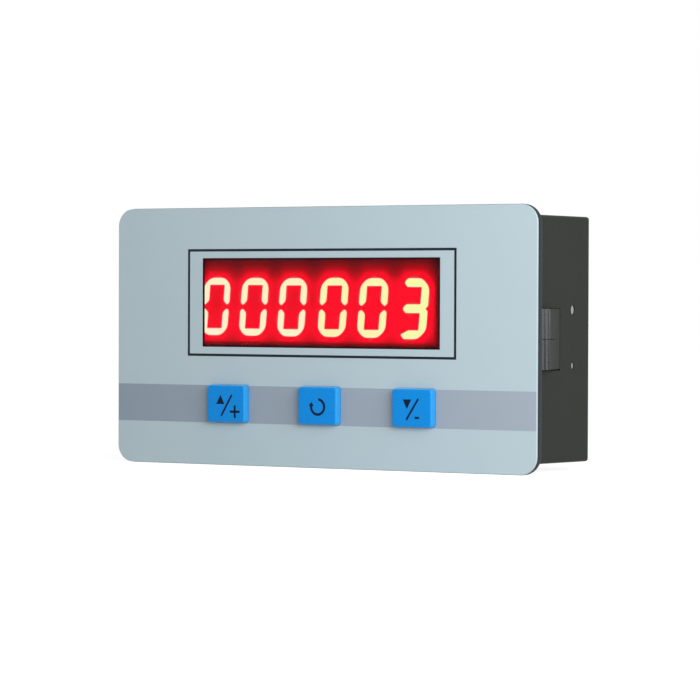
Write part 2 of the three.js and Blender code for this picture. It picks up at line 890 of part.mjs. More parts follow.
function addBlock(part) {
  const [x, z] = boardPlace(part);
  const body = block(
    x - part.length / 2,
    x + part.length / 2,
    boardRearY,
    boardRearY + part.height,
    z - part.width / 2 + chipStandoff,
    z + part.width / 2 - chipStandoff,
  );
  const ends = [-1, 1].map((side) => block(
    x + side * (part.length / 2 - terminalWrap),
    x + side * (part.length / 2 + chipStandoff),
    boardRearY,
    boardRearY + part.height,
    z - part.width / 2,
    z + part.width / 2,
  ));
  addPiece(part.name, join([body, ...ends]), blockFinishes[part.finish]());
}

// Header: a shrouded socket and its five pins
function addHeader() {
  const headerRearY = boardRearY + headerLength;
  const shroud = plate(boxOutline(headerWidth, headerDepth, 0, headerZ), boardRearY, headerRearY);
  const hollow = plate(
    boxOutline(headerWidth - 2 * headerWall, headerDepth - 2 * headerWall, 0, headerZ),
    boardRearY + headerFloor,
    headerRearY + overrun,
  );
  const pinHoles = Array.from({ length: headerPins }, (_, index) => {
    const size = headerPinSize + 2 * holeClearance;
    return plate(boxOutline(size, size, headerPinX(index), headerZ), boardRearY - overrun, boardRearY + headerLength);
  });
  const slots = [-1, 1].map((side) => {
    const x = side * (headerPins - 1) / 2 * headerPitch;
    const lowZ = headerZ - headerDepth / 2;
    return block(
      x - headerSlotWidth / 2,
      x + headerSlotWidth / 2,
      headerRearY - headerSlotDepth,
      headerRearY + overrun,
      lowZ - overrun,
      lowZ + headerWall + embed,
    );
  });
  addPiece("lead_header", cut(shroud, [hollow, ...pinHoles, ...slots]), whiteNylon());
  for (let index = 0; index < headerPins; index += 1) {
    const pin = plate(
      boxOutline(headerPinSize, headerPinSize, headerPinX(index), headerZ),
      boardFrontY - headerPinTail,
      boardRearY + headerPinRise,
    );
    addPiece(`header_pin_${index + 1}`, pin, tinnedMetal());
  }
}

// Board screws: pan heads with a cross
function addScrew(place, x, z) {
  const headRearY = boardRearY + screwHeadHeight;
  const screw = turned([
    [0, boardRearY - screwLength],
    [screwShankRadius, boardRearY - screwLength],
    [screwShankRadius, boardRearY],
    [screwHeadRadius, boardRearY],
    [screwHeadRadius, headRearY - screwHeadHeight / 2],
    [screwHeadRadius - screwHeadHeight / 2, headRearY],
    [0, headRearY],
  ], x, z);
  const cross = [[screwCrossLength, screwCrossWidth], [screwCrossWidth, screwCrossLength]].map(
    ([width, height]) => plate(
      boxOutline(width, height, x, z),
      headRearY - screwCrossDepth,
      headRearY + overrun,
    ),
  );
  addPiece(`board_screw_${place}`, cut(screw, cross), zincSteel());
}

// Rear cover
function addRearCover() {
  const width = innerWidth + 2 * (coverLedge - slideClearance);
  const height = innerHeight + 2 * (coverLedge - slideClearance);
  const lid = plate(roundedOutline(width, height, coverCornerRadius, 0, centreZ), coverFrontY, rearY);
  const port = plate(
    boxOutline(headerWidth + 2 * portMargin, headerDepth + 2 * portMargin, 0, headerZ),
    coverFrontY - overrun,
    rearY + overrun,
  );
  const armLowZ = centreZ - lowerNubDrop - coverArmMargin;
  const armHighZ = centreZ + upperNubRise + coverArmMargin;
  const arms = [-1, 1].map((side) => block(
    side * (armOuterX - coverArmThickness),
    side * armOuterX,
    coverArmFrontY,
    coverFrontY + embed,
    armLowZ,
    armHighZ,
  ));
  const nubPosts = [-1, 1].flatMap((side) => nubs.map(([radius, z]) => crossPost(
    radius,
    side * (armOuterX - embed),
    side * (bodySideX - nubInset),
    nubY,
    z,
  )));
  addPiece("rear_cover", join([cut(lid, [port]), ...arms, ...nubPosts]), darkCasePlastic());
}

// Side clips, drawn as (x, y) on the right-hand side and turned over for the left
function clipOutline() {
  const teeth = Array.from({ length: clipToothCount }, (_, index) => {
    const fromPeak = clipToothCount - 1 - index;
    return {
      tipX: bodySideX + clipPeakProud - fromPeak * clipToothStep,
      y: faceY + clipPeakDepth - fromPeak * clipToothPitch,
      first: index === 0,
    };
  });
  const noseX = bodySideX + clipNoseProud;
  const radius = clipThickness / 2;
  const saw = teeth.flatMap(({ tipX, y, first }) => [
    new THREE.Vector2(first ? noseX : tipX - clipToothDrop, y),
    new THREE.Vector2(tipX, y),
  ]);
  const root = Array.from({ length: 2 * cornerSteps + 1 }, (_, step) => {
    const angle = Math.PI * step / (2 * cornerSteps);
    return new THREE.Vector2(clipHingeX + radius * Math.cos(angle), clipHingeY + radius * Math.sin(angle));
  });
  return [
    new THREE.Vector2(clipHingeX - radius, clipFrontY),
    new THREE.Vector2(noseX, clipFrontY),
    ...saw,
    new THREE.Vector2(bodySideX, clipHingeY - clipRampEnd),
    ...root,
  ];
}

function addSideClip(name, side) {
  const geometry = new THREE.ExtrudeGeometry(new THREE.Shape(clipOutline()), {
    depth: clipHeight,
    bevelEnabled: false,
  });
  geometry.translate(0, 0, centreZ - clipHeight / 2);
  const slit = block(
    bodySideX - clipThickness - overrun,
    bodySideX + clipPeakProud + overrun,
    clipFrontY - overrun,
    clipHingeY - clipSlitRootLength,
    centreZ - clipSlit / 2,
    centreZ + clipSlit / 2,
  );
  const clip = cut(toSolid(geometry), [slit]);
  addPiece(name, side > 0 ? clip : clip.mirror([1, 0, 0]), darkCasePlastic());
}

addOverlay();
addFilter();
addCase();
addRearCover();
addSideClip("right_clip", 1);
addSideClip("left_clip", -1);
for (const [side, x] of displaySides) {
  addDisplayShell(side, x);
  addDisplaySegments(side, x);
  addLedBoard(side, x);
}
for (const [name, x] of keys) {
  addKeyCap(name, x);
  addSwitchBase(name, x);
  addSwitchPlate(name, x);
  addSwitchDome(name, x);
  addPlunger(name, x);
}
addCircuitBoard();
chips.forEach(addChip);
cans.forEach(addCan);
blocks.forEach(addBlock);
addHeader();
for (const [place, x, z] of screwPlaces) addScrew(place, x, z);

export default counter;
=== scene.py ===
"""Looks of the panel-mounting digital counter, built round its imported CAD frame.

Sizes are in millimetres in the CAD frame: +X is to the right as one faces the display, +Y goes
back into the panel and +Z is up. Plane.place turns them to metres.
"""

import logging
import math
from collections import Counter
from dataclasses import dataclass
from enum import Enum
from typing import Sequence

import bmesh
import bpy
import numpy as np
from mathutils import Matrix, Vector
from mathutils.geometry import delaunay_2d_cdt, tessellate_polygon


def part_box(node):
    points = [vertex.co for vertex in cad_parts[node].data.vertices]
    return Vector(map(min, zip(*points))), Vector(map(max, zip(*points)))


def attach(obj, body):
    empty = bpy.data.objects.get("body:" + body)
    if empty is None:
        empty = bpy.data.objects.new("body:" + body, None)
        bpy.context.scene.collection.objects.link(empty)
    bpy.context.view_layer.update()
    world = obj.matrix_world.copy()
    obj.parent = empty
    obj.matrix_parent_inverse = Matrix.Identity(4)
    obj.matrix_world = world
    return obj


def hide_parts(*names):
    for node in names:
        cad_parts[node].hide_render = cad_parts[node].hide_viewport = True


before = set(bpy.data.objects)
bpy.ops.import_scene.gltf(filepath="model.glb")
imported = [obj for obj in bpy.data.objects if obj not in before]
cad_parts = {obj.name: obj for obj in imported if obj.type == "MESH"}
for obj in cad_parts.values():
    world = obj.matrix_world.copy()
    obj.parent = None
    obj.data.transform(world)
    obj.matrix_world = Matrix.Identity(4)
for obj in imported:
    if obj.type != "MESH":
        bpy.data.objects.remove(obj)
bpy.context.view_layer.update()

Point = tuple[float, float]
Triple = tuple[float, float, float]
Loop = list[Point]
Value = float | Sequence[float] | bpy.types.NodeSocket

LOG = logging.getLogger("counter")

# Metres in a millimetre
MM = 0.001

# How finely corners, rims and round pieces are drawn
CORNER_STEPS = 8
RIM_STEPS = 4
ROUND_SIDES = 48
# An arc may use up this share of the shorter edge beside it
CORNER_SHARE = 0.48
# Faces that meet at more than this angle keep a crisp edge
CRISP_ANGLE = math.radians(38)
# Corners of the film's triangles that lie this near each other are one, in millimetres
WELD = 0.00001
# How far a cutter or a joined piece reaches past the surface it meets
OVERRUN = 1.0
EMBED = 0.2
# The margins of a box that reaches past a CAD node on every side
AROUND: Triple = (-OVERRUN, -OVERRUN, -OVERRUN)


class Plane(Enum):
    """The plane that an outline is drawn in; its solid grows along the third axis."""

    FACE = "x_z"
    TOP = "x_y"
    SIDE = "y_z"

    def place(self, across: float, up: float, along: float) -> Vector:
        """Puts a point of an outline into space.

        Args:
            across: the outline's first coordinate.
            up: its second coordinate.
            along: the place on the third axis.

        Returns:
            The point in metres.
        """
        places = {
            Plane.FACE: (across, along, up),
            Plane.TOP: (across, up, along),
            Plane.SIDE: (along, across, up),
        }
        return Vector(places[self]) * MM


class Combination(Enum):
    """How one closed mesh acts on another."""

    ADD = "UNION"
    CUT = "DIFFERENCE"


class Body(Enum):
    """The moving and fixed bodies of the CAD frame."""

    MODULE = "module"
    PLUS_KEY = "plus_key_body"
    RETURN_KEY = "return_key_body"
    MINUS_KEY = "minus_key_body"
    RIGHT_CLIP = "right_clip_body"
    LEFT_CLIP = "left_clip_body"


class Slot(Enum):
    """The record's material slots, by name; no new piece takes its finish from them here."""

    FILM = "printed_film"
    CASE = "case_plastic"
    FILTER = "red_filter"
    SHELL = "display_shell"
    LIT = "lit_segment"
    KEY = "key_plastic"
    NYLON = "white_nylon"
    TINNED = "tinned_metal"


class Side(Enum):
    """Which side of the case, as one faces the display; the value turns a drawing over."""

    LEFT = -1
    RIGHT = 1


class KeySign(Enum):
    """The sign on a key; the value begins the names of its CAD nodes."""

    PLUS = "plus"
    RETURN = "return"
    MINUS = "minus"


class Digit(Enum):
    """The two digits that the counter shows."""

    NOUGHT = "0"
    THREE = "3"


@dataclass(frozen=True)
class NodeBox:
    """The box round a CAD node, in millimetres."""

    left: float
    front: float
    low: float
    right: float
    back: float
    high: float

    @classmethod
    def of(cls, name: str) -> "NodeBox":
        """Reads the box of the node with this name."""
        low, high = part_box(name)
        return cls(*(low / MM), *(high / MM))

    @property
    def width(self) -> float:
        """Gives how wide the box is."""
        return self.right - self.left

    @property
    def height(self) -> float:
        """Gives how tall the box is."""
        return self.high - self.low

    @property
    def across(self) -> float:
        """Gives the place of its middle across the face."""
        return (self.left + self.right) / 2

    @property
    def up(self) -> float:
        """Gives how high its middle lies."""
        return (self.low + self.high) / 2

    def loop(self, margin: float = 0.0) -> Loop:
        """Draws the box from in front, made smaller on each side by a margin."""
        return box_loop(self.width - 2 * margin, self.height - 2 * margin, self.across, self.up)


@dataclass(frozen=True)
class Layout:
    """Places and sizes that several sub-assemblies share.

    The boxes come from the CAD frame, and the numbers are sizes that no node's box shows.
    """

    film: NodeBox = NodeBox.of("face_overlay")
    case: NodeBox = NodeBox.of("front_case")
    sheet: NodeBox = NodeBox.of("window_filter")
    key: NodeBox = NodeBox.of("return_key")
    board: NodeBox = NodeBox.of("circuit_board")
    cover: NodeBox = NodeBox.of("rear_cover")
    flange_thickness: float = 1.05
    front_wall: float = 1.6
    wall: float = 1.6
    side_overhang: float = 2.85
    top_overhang: float = 1.55
    lid_thickness: float = 1.6
    window_width: float = 44.63
    window_height: float = 14.45
    window_across: float = -0.31
    window_up: float = 26.52
    sheet_margin: float = 1.0
    key_radius: float = 0.6
    key_stop_margin: float = 0.7
    slide_gap: float = 0.15
    print_gap: float = 0.05
    hinge_radius: float = 0.6
    nub_reach: float = 1.7
    upper_nub_radius: float = 0.75
    nub_squeeze: float = 0.76
    upper_nub_rise: float = 4.56
    lower_nub_radius: float = 0.52
    lower_nub_drop: float = 4.3

    @property
    def flange_front(self) -> float:
        """Gives the front of the flange, which the film lies on."""
        return self.film.back

    @property
    def flange_back(self) -> float:
        """Gives the back of the flange."""
        return self.flange_front + self.flange_thickness

    @property
    def wall_back(self) -> float:
        """Gives the back of the case's front wall."""
        return self.flange_front + self.front_wall

    @property
    def cover_front(self) -> float:
        """Gives the front of the lid."""
        return self.case.back - self.lid_thickness

    @property
    def side_across(self) -> float:
        """Gives how far out the case's side wall lies."""
        return self.case.width / 2 - self.side_overhang

    @property
    def body_height(self) -> float:
        """Gives the height of the case behind the flange."""
        return self.case.height - 2 * self.top_overhang

    @property
    def inner_width(self) -> float:
        """Gives the width inside the case."""
        return 2 * (self.side_across - self.wall)

    @property
    def inner_height(self) -> float:
        """Gives the height inside the case."""
        return self.body_height - 2 * self.wall

    @property
    def nub_back(self) -> float:
        """Gives how far back the nubs lie."""
        return self.cover.front + self.nub_reach

    def nubs(self) -> tuple[Point, Point]:
        """Gives the radius and the height of each nub of one side."""
        return (
            (self.upper_nub_radius, self.case.up + self.upper_nub_rise),
            (self.lower_nub_radius, self.case.up - self.lower_nub_drop),
        )


LAYOUT = Layout()


# Outlines


def box_loop(width: float, height: float, across: float = 0.0, up: float = 0.0) -> Loop:
    """Draws a rectangle.

    Args:
        width: its width.
        height: its height.
        across: the first coordinate of its middle.
        up: the second coordinate of its middle.

    Returns:
        The four corners, anticlockwise.
    """
    left, right = across - width / 2, across + width / 2
    low, high = up - height / 2, up + height / 2
    return [(left, low), (right, low), (right, high), (left, high)]


def bar_loop(start: Point, end: Point, width: float) -> Loop:
    """Draws a straight stroke between two points.

    Args:
        start: the middle of one end.
        end: the middle of the other end.
        width: the stroke's width.

    Returns:
        The four corners.
    """
    along = (Vector(end) - Vector(start)).normalized() * width / 2
    sideways = Vector((-along.y, along.x))
    corners = (
        Vector(start) - sideways,
        Vector(end) - sideways,
        Vector(end) + sideways,
        Vector(start) + sideways,
    )
    return [tuple(corner) for corner in corners]


def soften(loop: Loop, radius: float | Sequence[float], steps: int = CORNER_STEPS) -> Loop:
    """Rounds every corner of an outline.

    Args:
        loop: the outline.
        radius: the radius wished for, one for all or one for each corner; beside a short edge
            it is smaller.
        steps: how many chords stand for one corner.

    Returns:
        The outline with an arc for each corner.
    """
    radii = [radius] * len(loop) if isinstance(radius, float) else radius
    softened: Loop = []
    for index, (corner, wished) in enumerate(zip(loop, radii)):
        point = Vector(corner)
        before = Vector(loop[index - 1]) - point
        after = Vector(loop[(index + 1) % len(loop)]) - point
        slope = math.tan(before.angle(after) / 2)
        reach = min(wished / slope, CORNER_SHARE * min(before.length, after.length))
        arc_radius = reach * slope
        bisector = (before.normalized() + after.normalized()).normalized()
        centre = point + bisector * math.hypot(reach, arc_radius)
        first = point + before.normalized() * reach - centre
        last = point + after.normalized() * reach - centre
        turn = math.atan2(first.x * last.y - first.y * last.x, first.dot(last))
        begin = math.atan2(first.y, first.x)
        for step in range(steps + 1):
            angle = begin + turn * step / steps
            softened.append(
                (centre.x + arc_radius * math.cos(angle), centre.y + arc_radius * math.sin(angle))
            )
    return softened


def rounded_loop(width: float, height: float, radius: float, across: float = 0.0, up: float = 0.0) -> Loop:
    """Draws a rectangle with round corners; its arguments are those of box_loop and the radius."""
    return soften(box_loop(width, height, across, up), radius)


def mirrored(quarter: Loop) -> Loop:
    """Draws an outline that is the same to the left and right, and above and below.

    Args:
        quarter: its points in one quarter, in the order in which they go round.

    Returns:
        The whole outline, round its middle.
    """
    half = [*quarter, *((-x, z) for x, z in reversed(quarter))]
    return [*half, *((-x, -z) for x, z in half)]


def wound(loop: Loop, outer: bool) -> Loop:
    """Turns an outline so that the solid is on its left.

    Args:
        loop: the outline.
        outer: whether it bounds the solid from outside, and isn't a hole's.

    Returns:
        The outline, anticlockwise where it is the outer one.
    """
    following = loop[1:] + loop[:1]
    area = sum(a * d - c * b for (a, b), (c, d) in zip(loop, following))
    return loop if (area > 0) == outer else loop[::-1]


def inset(loop: Loop, distance: float) -> Loop:
    """Moves an outline into the solid on its left, with mitred corners.

    Args:
        loop: the outline, wound with the solid on its left.
        distance: how far it moves; less than 0 is away from the solid.

    Returns:
        The moved outline, with as many points.
    """
    moved: Loop = []
    for index, corner in enumerate(loop):
        point = Vector(corner)
        inwards = point - Vector(loop[index - 1])
        onwards = Vector(loop[(index + 1) % len(loop)]) - point
        first = Vector((-inwards.y, inwards.x)).normalized()
        second = Vector((-onwards.y, onwards.x)).normalized()
        moved.append(tuple(point + (first + second) * distance / (1 + first.dot(second))))
    return moved


def distances(points: np.ndarray, loops: Sequence[Loop]) -> np.ndarray:
    """Measures how far points lie from the nearest of some outlines.

    Args:
        points: the points, one to a row.
        loops: the outlines.

    Returns:
        The distance of each point in millimetres, 0 on an outline.
    """
    nearest = np.full(len(points), np.inf)
    for loop in loops:
        for start, end in zip(loop, loop[1:] + loop[:1]):
            edge = np.subtract(end, start)
            offset = points - np.array(start)
            share = np.clip(offset @ edge / max(edge @ edge, WELD**2), 0.0, 1.0)
            nearest = np.minimum(nearest, np.linalg.norm(offset - share[:, None] * edge, axis=1))
    return nearest


def within(points: np.ndarray, loops: Sequence[Loop]) -> np.ndarray:
    """Finds which points lie inside an outline, by the sides that a level ray crosses.

    Args:
        points: the points, one to a row.
        loops: the outlines, none of them overlapping.

    Returns:
        True or False for each point.
    """
    inside = np.zeros(len(points), dtype=bool)
    across, up = points[:, 0], points[:, 1]
    for loop in loops:
        for (a, b), (c, d) in zip(loop, loop[1:] + loop[:1]):
            if b != d:
                crosses = (b > up) != (d > up)
                inside ^= crosses & (across < a + (up - b) * (c - a) / (d - b))
    return inside


def rim_layers(span: Point, rims: Point, steps: int) -> list[Point]:
    """Works out the side of a plate whose rims are round.

    Args:
        span: where the plate starts and ends.
        rims: the radius of the rim at its start and at its end.
        steps: how many chords stand for a rim.

    Returns:
        For each layer, how far in from the outline it lies, and where along the span.
    """
    start, end = span
    angles = [math.pi / 2 * step / steps for step in range(steps + 1)]
    opening = [(rims[0] * (1 - math.sin(a)), start + rims[0] * (1 - math.cos(a))) for a in angles]
    closing = [(rims[1] * (1 - math.sin(a)), end - rims[1] * (1 - math.cos(a))) for a in angles]
    return (opening if rims[0] else opening[-1:]) + (closing[::-1] if rims[1] else closing[-1:])


def new_object(name: str, data: bpy.types.ID) -> bpy.types.Object:
    """Puts a new object into the scene.

    Args:
        name: its name.
        data: the mesh, camera or lamp that it shows.

    Returns:
        The object.
    """
    made = bpy.data.objects.new(name, data)
    bpy.context.scene.collection.objects.link(made)
    return made


class Draft:
    """A mesh under construction; closed solids are added to it one by one."""

    def __init__(self) -> None:
        """Starts an empty mesh."""
        self.mesh = bmesh.new()

    def ring(
        self, loop: Loop, along: float, plane: Plane = Plane.FACE
    ) -> list[bmesh.types.BMVert]:
        """Adds the points of an outline at one place along the third axis."""
        return [self.mesh.verts.new(plane.place(across, up, along)) for across, up in loop]

    def bridge(self, ring: list[bmesh.types.BMVert], after: list[bmesh.types.BMVert]) -> None:
        """Joins two rings with faces; a ring of one point is the tip of a cone.

        Args:
            ring: the first ring.
            after: the second ring.
        """
        sides = max(len(ring), len(after))
        for side in range(sides):
            following = (side + 1) % sides
            corners = [
                ring[side % len(ring)],
                ring[following % len(ring)],
                after[following % len(after)],
                after[side % len(after)],
            ]
            self.mesh.faces.new(list(dict.fromkeys(corners)))

    def plate(
        self,
        outer: Loop,
        span: Point,
        holes: Sequence[Loop] = (),
        rims: Point = (0.0, 0.0),
        plane: Plane = Plane.FACE,
    ) -> "Draft":
        """Adds a plate of any outline.

        Args:
            outer: the outline.
            span: where the plate starts and ends along the third axis.
            holes: the outlines of the holes through it.
            rims: the radius of the rims at its start and at its end.
            plane: the plane that the outlines are drawn in.

        Returns:
            The draft itself.
        """
        loops = [wound(outer, True), *(wound(hole, False) for hole in holes)]
        layers = rim_layers(span, rims, RIM_STEPS)
        walls = [[self.ring(inset(loop, depth), along, plane) for depth, along in layers] for loop in loops]
        for wall in walls:
            for ring, after in zip(wall, wall[1:]):
                self.bridge(ring, after)
        for layer, end in ((layers[0], 0), (layers[-1], -1)):
            outlines = [[Vector((*point, 0.0)) for point in inset(loop, layer[0])] for loop in loops]
            corners = [corner for wall in walls for corner in wall[end]]
            for triangle in tessellate_polygon(outlines):
                self.mesh.faces.new([corners[index] for index in triangle])
        return self

    def turned(self, profile: Sequence[Point], centre: Point, plane: Plane = Plane.FACE) -> "Draft":
        """Adds a solid turned round a line across the plane.

        Args:
            profile: radius and place along the line, from a radius of 0 to a radius of 0.
            centre: where the line crosses the plane.
            plane: the plane that the line crosses.

        Returns:
            The draft itself.
        """
        across, up = centre
        turns = [2 * math.pi * side / ROUND_SIDES for side in range(ROUND_SIDES)]
        rings = []
        for radius, along in profile:
            circle = [(across + radius * math.cos(a), up + radius * math.sin(a)) for a in turns]
            rings.append(self.ring(circle if radius else circle[:1], along, plane))
        for ring, after in zip(rings, rings[1:]):
            self.bridge(ring, after)
        return self

    def to_object(self, name: str) -> bpy.types.Object:
        """Ends the draft.

        Args:
            name: the name of the new object.

        Returns:
            The object, with its faces looking outwards.
        """
        bmesh.ops.recalc_face_normals(self.mesh, faces=self.mesh.faces)
        mesh = bpy.data.meshes.new(name)
        self.mesh.to_mesh(mesh)
        self.mesh.free()
        return new_object(name, mesh)


def settle(piece: bpy.types.Object) -> None:
    """Turns an object's modifiers into its mesh."""
    graph = bpy.context.evaluated_depsgraph_get()
    settled = bpy.data.meshes.new_from_object(
        piece.evaluated_get(graph), preserve_all_data_layers=True, depsgraph=graph
    )
    former = piece.data
    piece.modifiers.clear()
    piece.data = settled
    bpy.data.meshes.remove(former)


def combine(target: bpy.types.Object, how: Combination, *drafts: Draft) -> None:
    """Adds closed solids to an object, or cuts them out of it.

    Args:
        target: the object that changes.
        how: whether the solids are added or cut.
        drafts: the solids, which are used up.
    """
    for draft in drafts:
        tool = draft.to_object("tool")
        modifier = target.modifiers.new(how.name, "BOOLEAN")
        modifier.operation = how.value
        modifier.solver = "EXACT"
        modifier.object = tool
        settle(target)
        mesh = tool.data
        bpy.data.objects.remove(tool)
        bpy.data.meshes.remove(mesh)


def smooth(piece: bpy.types.Object) -> None:
    """Shades round parts smooth, and keeps flat faces flat and crisp edges crisp."""
    piece.data.shade_smooth()
    piece.data.set_sharp_from_angle(angle=CRISP_ANGLE)
    modifier = piece.modifiers.new("flat faces", "WEIGHTED_NORMAL")
    modifier.keep_sharp = True
    settle(piece)


# Finishes


def linear(colour: str) -> tuple[float, float, float, float]:
    """Turns an sRGB colour into the linear one that Blender's sockets take.

    Args:
        colour: six hex digits after a hash.

    Returns:
        Red, green, blue and a full alpha.
    """
    shares = [int(colour[start : start + 2], 16) / 255 for start in (1, 3, 5)]
    turned = [c / 12.92 if c <= 0.04045 else ((c + 0.055) / 1.055) ** 2.4 for c in shares]
    return (*turned, 1.0)


def add_node(
    tree: bpy.types.NodeTree,
    kind: str,
    settings: dict[str, object] | None = None,
    sockets: dict[str | int, Value] | None = None,
) -> bpy.types.Node:
    """Adds a node to a tree, sets it and links it.

    Args:
        tree: the tree that it joins.
        kind: the kind of node, by Blender's name without its first word.
        settings: the node's own options.
        sockets: for each input, a value or the socket that feeds it.

    Returns:
        The new node.
    """
    node = tree.nodes.new(f"ShaderNode{kind}")
    for name, value in (settings or {}).items():
        setattr(node, name, value)
    for name, value in (sockets or {}).items():
        if isinstance(value, bpy.types.NodeSocket):
            tree.links.new(value, node.inputs[name])
        else:
            node.inputs[name].default_value = value
    return node


# How finely noise is drawn, and the values that it mostly stays between
CLOUD_DETAIL = 3.0
GRAIN_DETAIL = 2.0
GRAIN_HARSHNESS = 0.6
NOISE_LOW = 0.3
NOISE_HIGH = 0.7


def per_metre(size: float) -> float:
    """Gives the texture scale whose pattern repeats about every so many millimetres."""
    return 1 / (size * MM)


def show_apart(tree: bpy.types.NodeTree, lit: bpy.types.Node, shown: bpy.types.Node, output: str) -> None:
    """Ends a tree so that one shader lights the object and the other one is what is seen.

    Args:
        tree: the tree.
        lit: the shader that the light meets.
        shown: the shader that the eye, a reflection or a clear sheet shows.
        output: the kind of the output node.
    """
    path = add_node(tree, "LightPath").outputs
    seen: Value = path["Is Camera Ray"]
    for ray in ("Is Glossy Ray", "Is Transmission Ray"):
        either = add_node(tree, "Math", {"operation": "MAXIMUM"}, {0: seen, 1: path[ray]})
        seen = either.outputs[0]
    mixed = add_node(tree, "MixShader", sockets={0: seen, 1: lit.outputs[0], 2: shown.outputs[0]})
    add_node(tree, output, sockets={"Surface": mixed.outputs[0]})


class Finish:
    """What all finishes share: the material is made on its first use and used again later."""

    name: str

    def material(self) -> bpy.types.Material:
        """Gives the finish as a Blender material."""
        made = bpy.data.materials.get(self.name)
        if made is None:
            made = bpy.data.materials.new(self.name)
            made.use_nodes = True
            made.node_tree.nodes.clear()
            shader = self.shader(made.node_tree)
            add_node(made.node_tree, "OutputMaterial", sockets={"Surface": shader.outputs[0]})
        return made

    def shader(self, tree: bpy.types.NodeTree) -> bpy.types.Node:
        """Builds the nodes of the finish and gives the last shader."""
        raise NotImplementedError


@dataclass(frozen=True)
class Pattern:
    """The sockets that draw a surface: its colour, its roughness and its relief from 0 to 1."""

    colour: bpy.types.NodeSocket
    roughness: bpy.types.NodeSocket
    height: bpy.types.NodeSocket


@dataclass(frozen=True)
class Surface(Finish):
    """An opaque surface: clouds of colour, and a grain that gives relief and uneven gloss.

    Attributes:
        name: the finish's name.
        colours: the main colour, and that of the clouds in it.
        cloud: the width of a cloud in millimetres.
        grain: the width of a grain in millimetres.
        roughness: the lowest and the highest roughness.
        relief: the height of the grain in millimetres.
        specular: 0.5 is the gloss of a bare smooth surface.
        ior: the refractive index.
        metallic: 1 for bare metal.
        stretch: how many times longer the grain is along each axis.
        sheen: the share of sheen at a flat angle.
        sheen_colour: its colour.
        sheen_roughness: how far it spreads over the surface.
    """

    name: str
    colours: tuple[str, str]
    cloud: float
    grain: float
    roughness: Point
    relief: float = 0.002
    specular: float = 0.5
    ior: float = 1.5
    metallic: float = 0.0
    stretch: Triple = (1.0, 1.0, 1.0)
    sheen: float = 0.0
    sheen_colour: str = "#FFFFFF"
    sheen_roughness: float = 0.4

    def pattern(self, tree: bpy.types.NodeTree) -> Pattern:
        """Builds the noise that draws the surface."""
        coordinates = add_node(tree, "TexCoord").outputs["Object"]
        drawn_out = add_node(
            tree,
            "Mapping",
            sockets={"Vector": coordinates, "Scale": tuple(1 / share for share in self.stretch)},
        )
        clouds = add_node(
            tree,
            "TexNoise",
            sockets={"Vector": coordinates, "Scale": per_metre(self.cloud), "Detail": CLOUD_DETAIL},
        )
        grains = add_node(
            tree,
            "TexNoise",
            sockets={
                "Vector": drawn_out.outputs[0],
                "Scale": per_metre(self.grain),
                "Detail": GRAIN_DETAIL,
                "Roughness": GRAIN_HARSHNESS,
            },
        )
        colour = add_node(
            tree,
            "Mix",
            {"data_type": "RGBA"},
            {0: clouds.outputs[0], 6: linear(self.colours[0]), 7: linear(self.colours[1])},
        )
        roughness = add_node(
            tree,
            "MapRange",
            sockets={
                "Value": grains.outputs[0],
                "From Min": NOISE_LOW,
                "From Max": NOISE_HIGH,
                "To Min": self.roughness[0],
                "To Max": self.roughness[1],
            },
        )
        return Pattern(colour.outputs[2], roughness.outputs[0], grains.outputs[0])

    def shader(self, tree: bpy.types.NodeTree) -> bpy.types.Node:
        """Builds the whole surface."""
        drawn = self.pattern(tree)
        bump = add_node(tree, "Bump", sockets={"Height": drawn.height, "Distance": self.relief * MM})
        return add_node(
            tree,
            "BsdfPrincipled",
            sockets={
                "Base Color": drawn.colour,
                "Roughness": drawn.roughness,
                "Metallic": self.metallic,
                "IOR": self.ior,
                "Specular IOR Level": self.specular,
                "Sheen Weight": self.sheen,
                "Sheen Roughness": self.sheen_roughness,
                "Sheen Tint": linear(self.sheen_colour),
                "Normal": bump.outputs[0],
            },
        )


@dataclass(frozen=True, kw_only=True)
class PaintedLightShift(Surface):
    """A surface whose colour passes gradually to a paler one, as painted light.

    Attributes:
        painted_lit_colour: the other colour.
    """

    painted_lit_colour: str

    def share(self, tree: bpy.types.NodeTree) -> bpy.types.NodeSocket:
        """Builds the share of the other colour, from 0 to 1."""
        raise NotImplementedError

    def pattern(self, tree: bpy.types.NodeTree) -> Pattern:
        """Builds the noise and the passage between the colours."""
        drawn = super().pattern(tree)
        mixed = add_node(
            tree,
            "Mix",
            {"data_type": "RGBA"},
            {0: self.share(tree), 6: drawn.colour, 7: linear(self.painted_lit_colour)},
        )
        return Pattern(mixed.outputs[2], drawn.roughness, drawn.height)


class InkWithPaintedLightGradient(PaintedLightShift):
    """An ink painted lighter from the face's left end to its right end: painted light, standing in for the
    lamp's light that falls more brightly on the right.
    """

    def share(self, tree: bpy.types.NodeTree) -> bpy.types.NodeSocket:
        """Builds the share, which is 0 at the left end and 1 at the right one."""
        coordinates = add_node(tree, "TexCoord").outputs["Object"]
        across = add_node(tree, "SeparateXYZ", sockets={0: coordinates}).outputs[0]
        reach = LAYOUT.film.width / 2 * MM
        share = add_node(tree, "MapRange", sockets={"Value": across, "From Min": -reach, "From Max": reach})
        return share.outputs[0]


@dataclass(frozen=True, kw_only=True)
class PaintedRimHighlightPlastic(PaintedLightShift):
    """A plastic whose rims and sides are painted paler: a painted highlight where light catches them.

    Attributes:
        still_front: how far forwards the surface faces where the paleness starts.
        fully_side: how far forwards it faces where the paleness is full.
    """

    still_front: float = 0.98
    fully_side: float = 0.6

    def share(self, tree: bpy.types.NodeTree) -> bpy.types.NodeSocket:
        """Builds the share, which is 0 where the surface faces forwards and 1 on the sides."""
        normal = add_node(tree, "TexCoord").outputs["Normal"]
        backwards = add_node(tree, "SeparateXYZ", sockets={0: normal}).outputs[1]
        share = add_node(
            tree,
            "MapRange",
            sockets={"Value": backwards, "From Min": -self.still_front, "From Max": -self.fully_side},
        )
        return share.outputs[0]


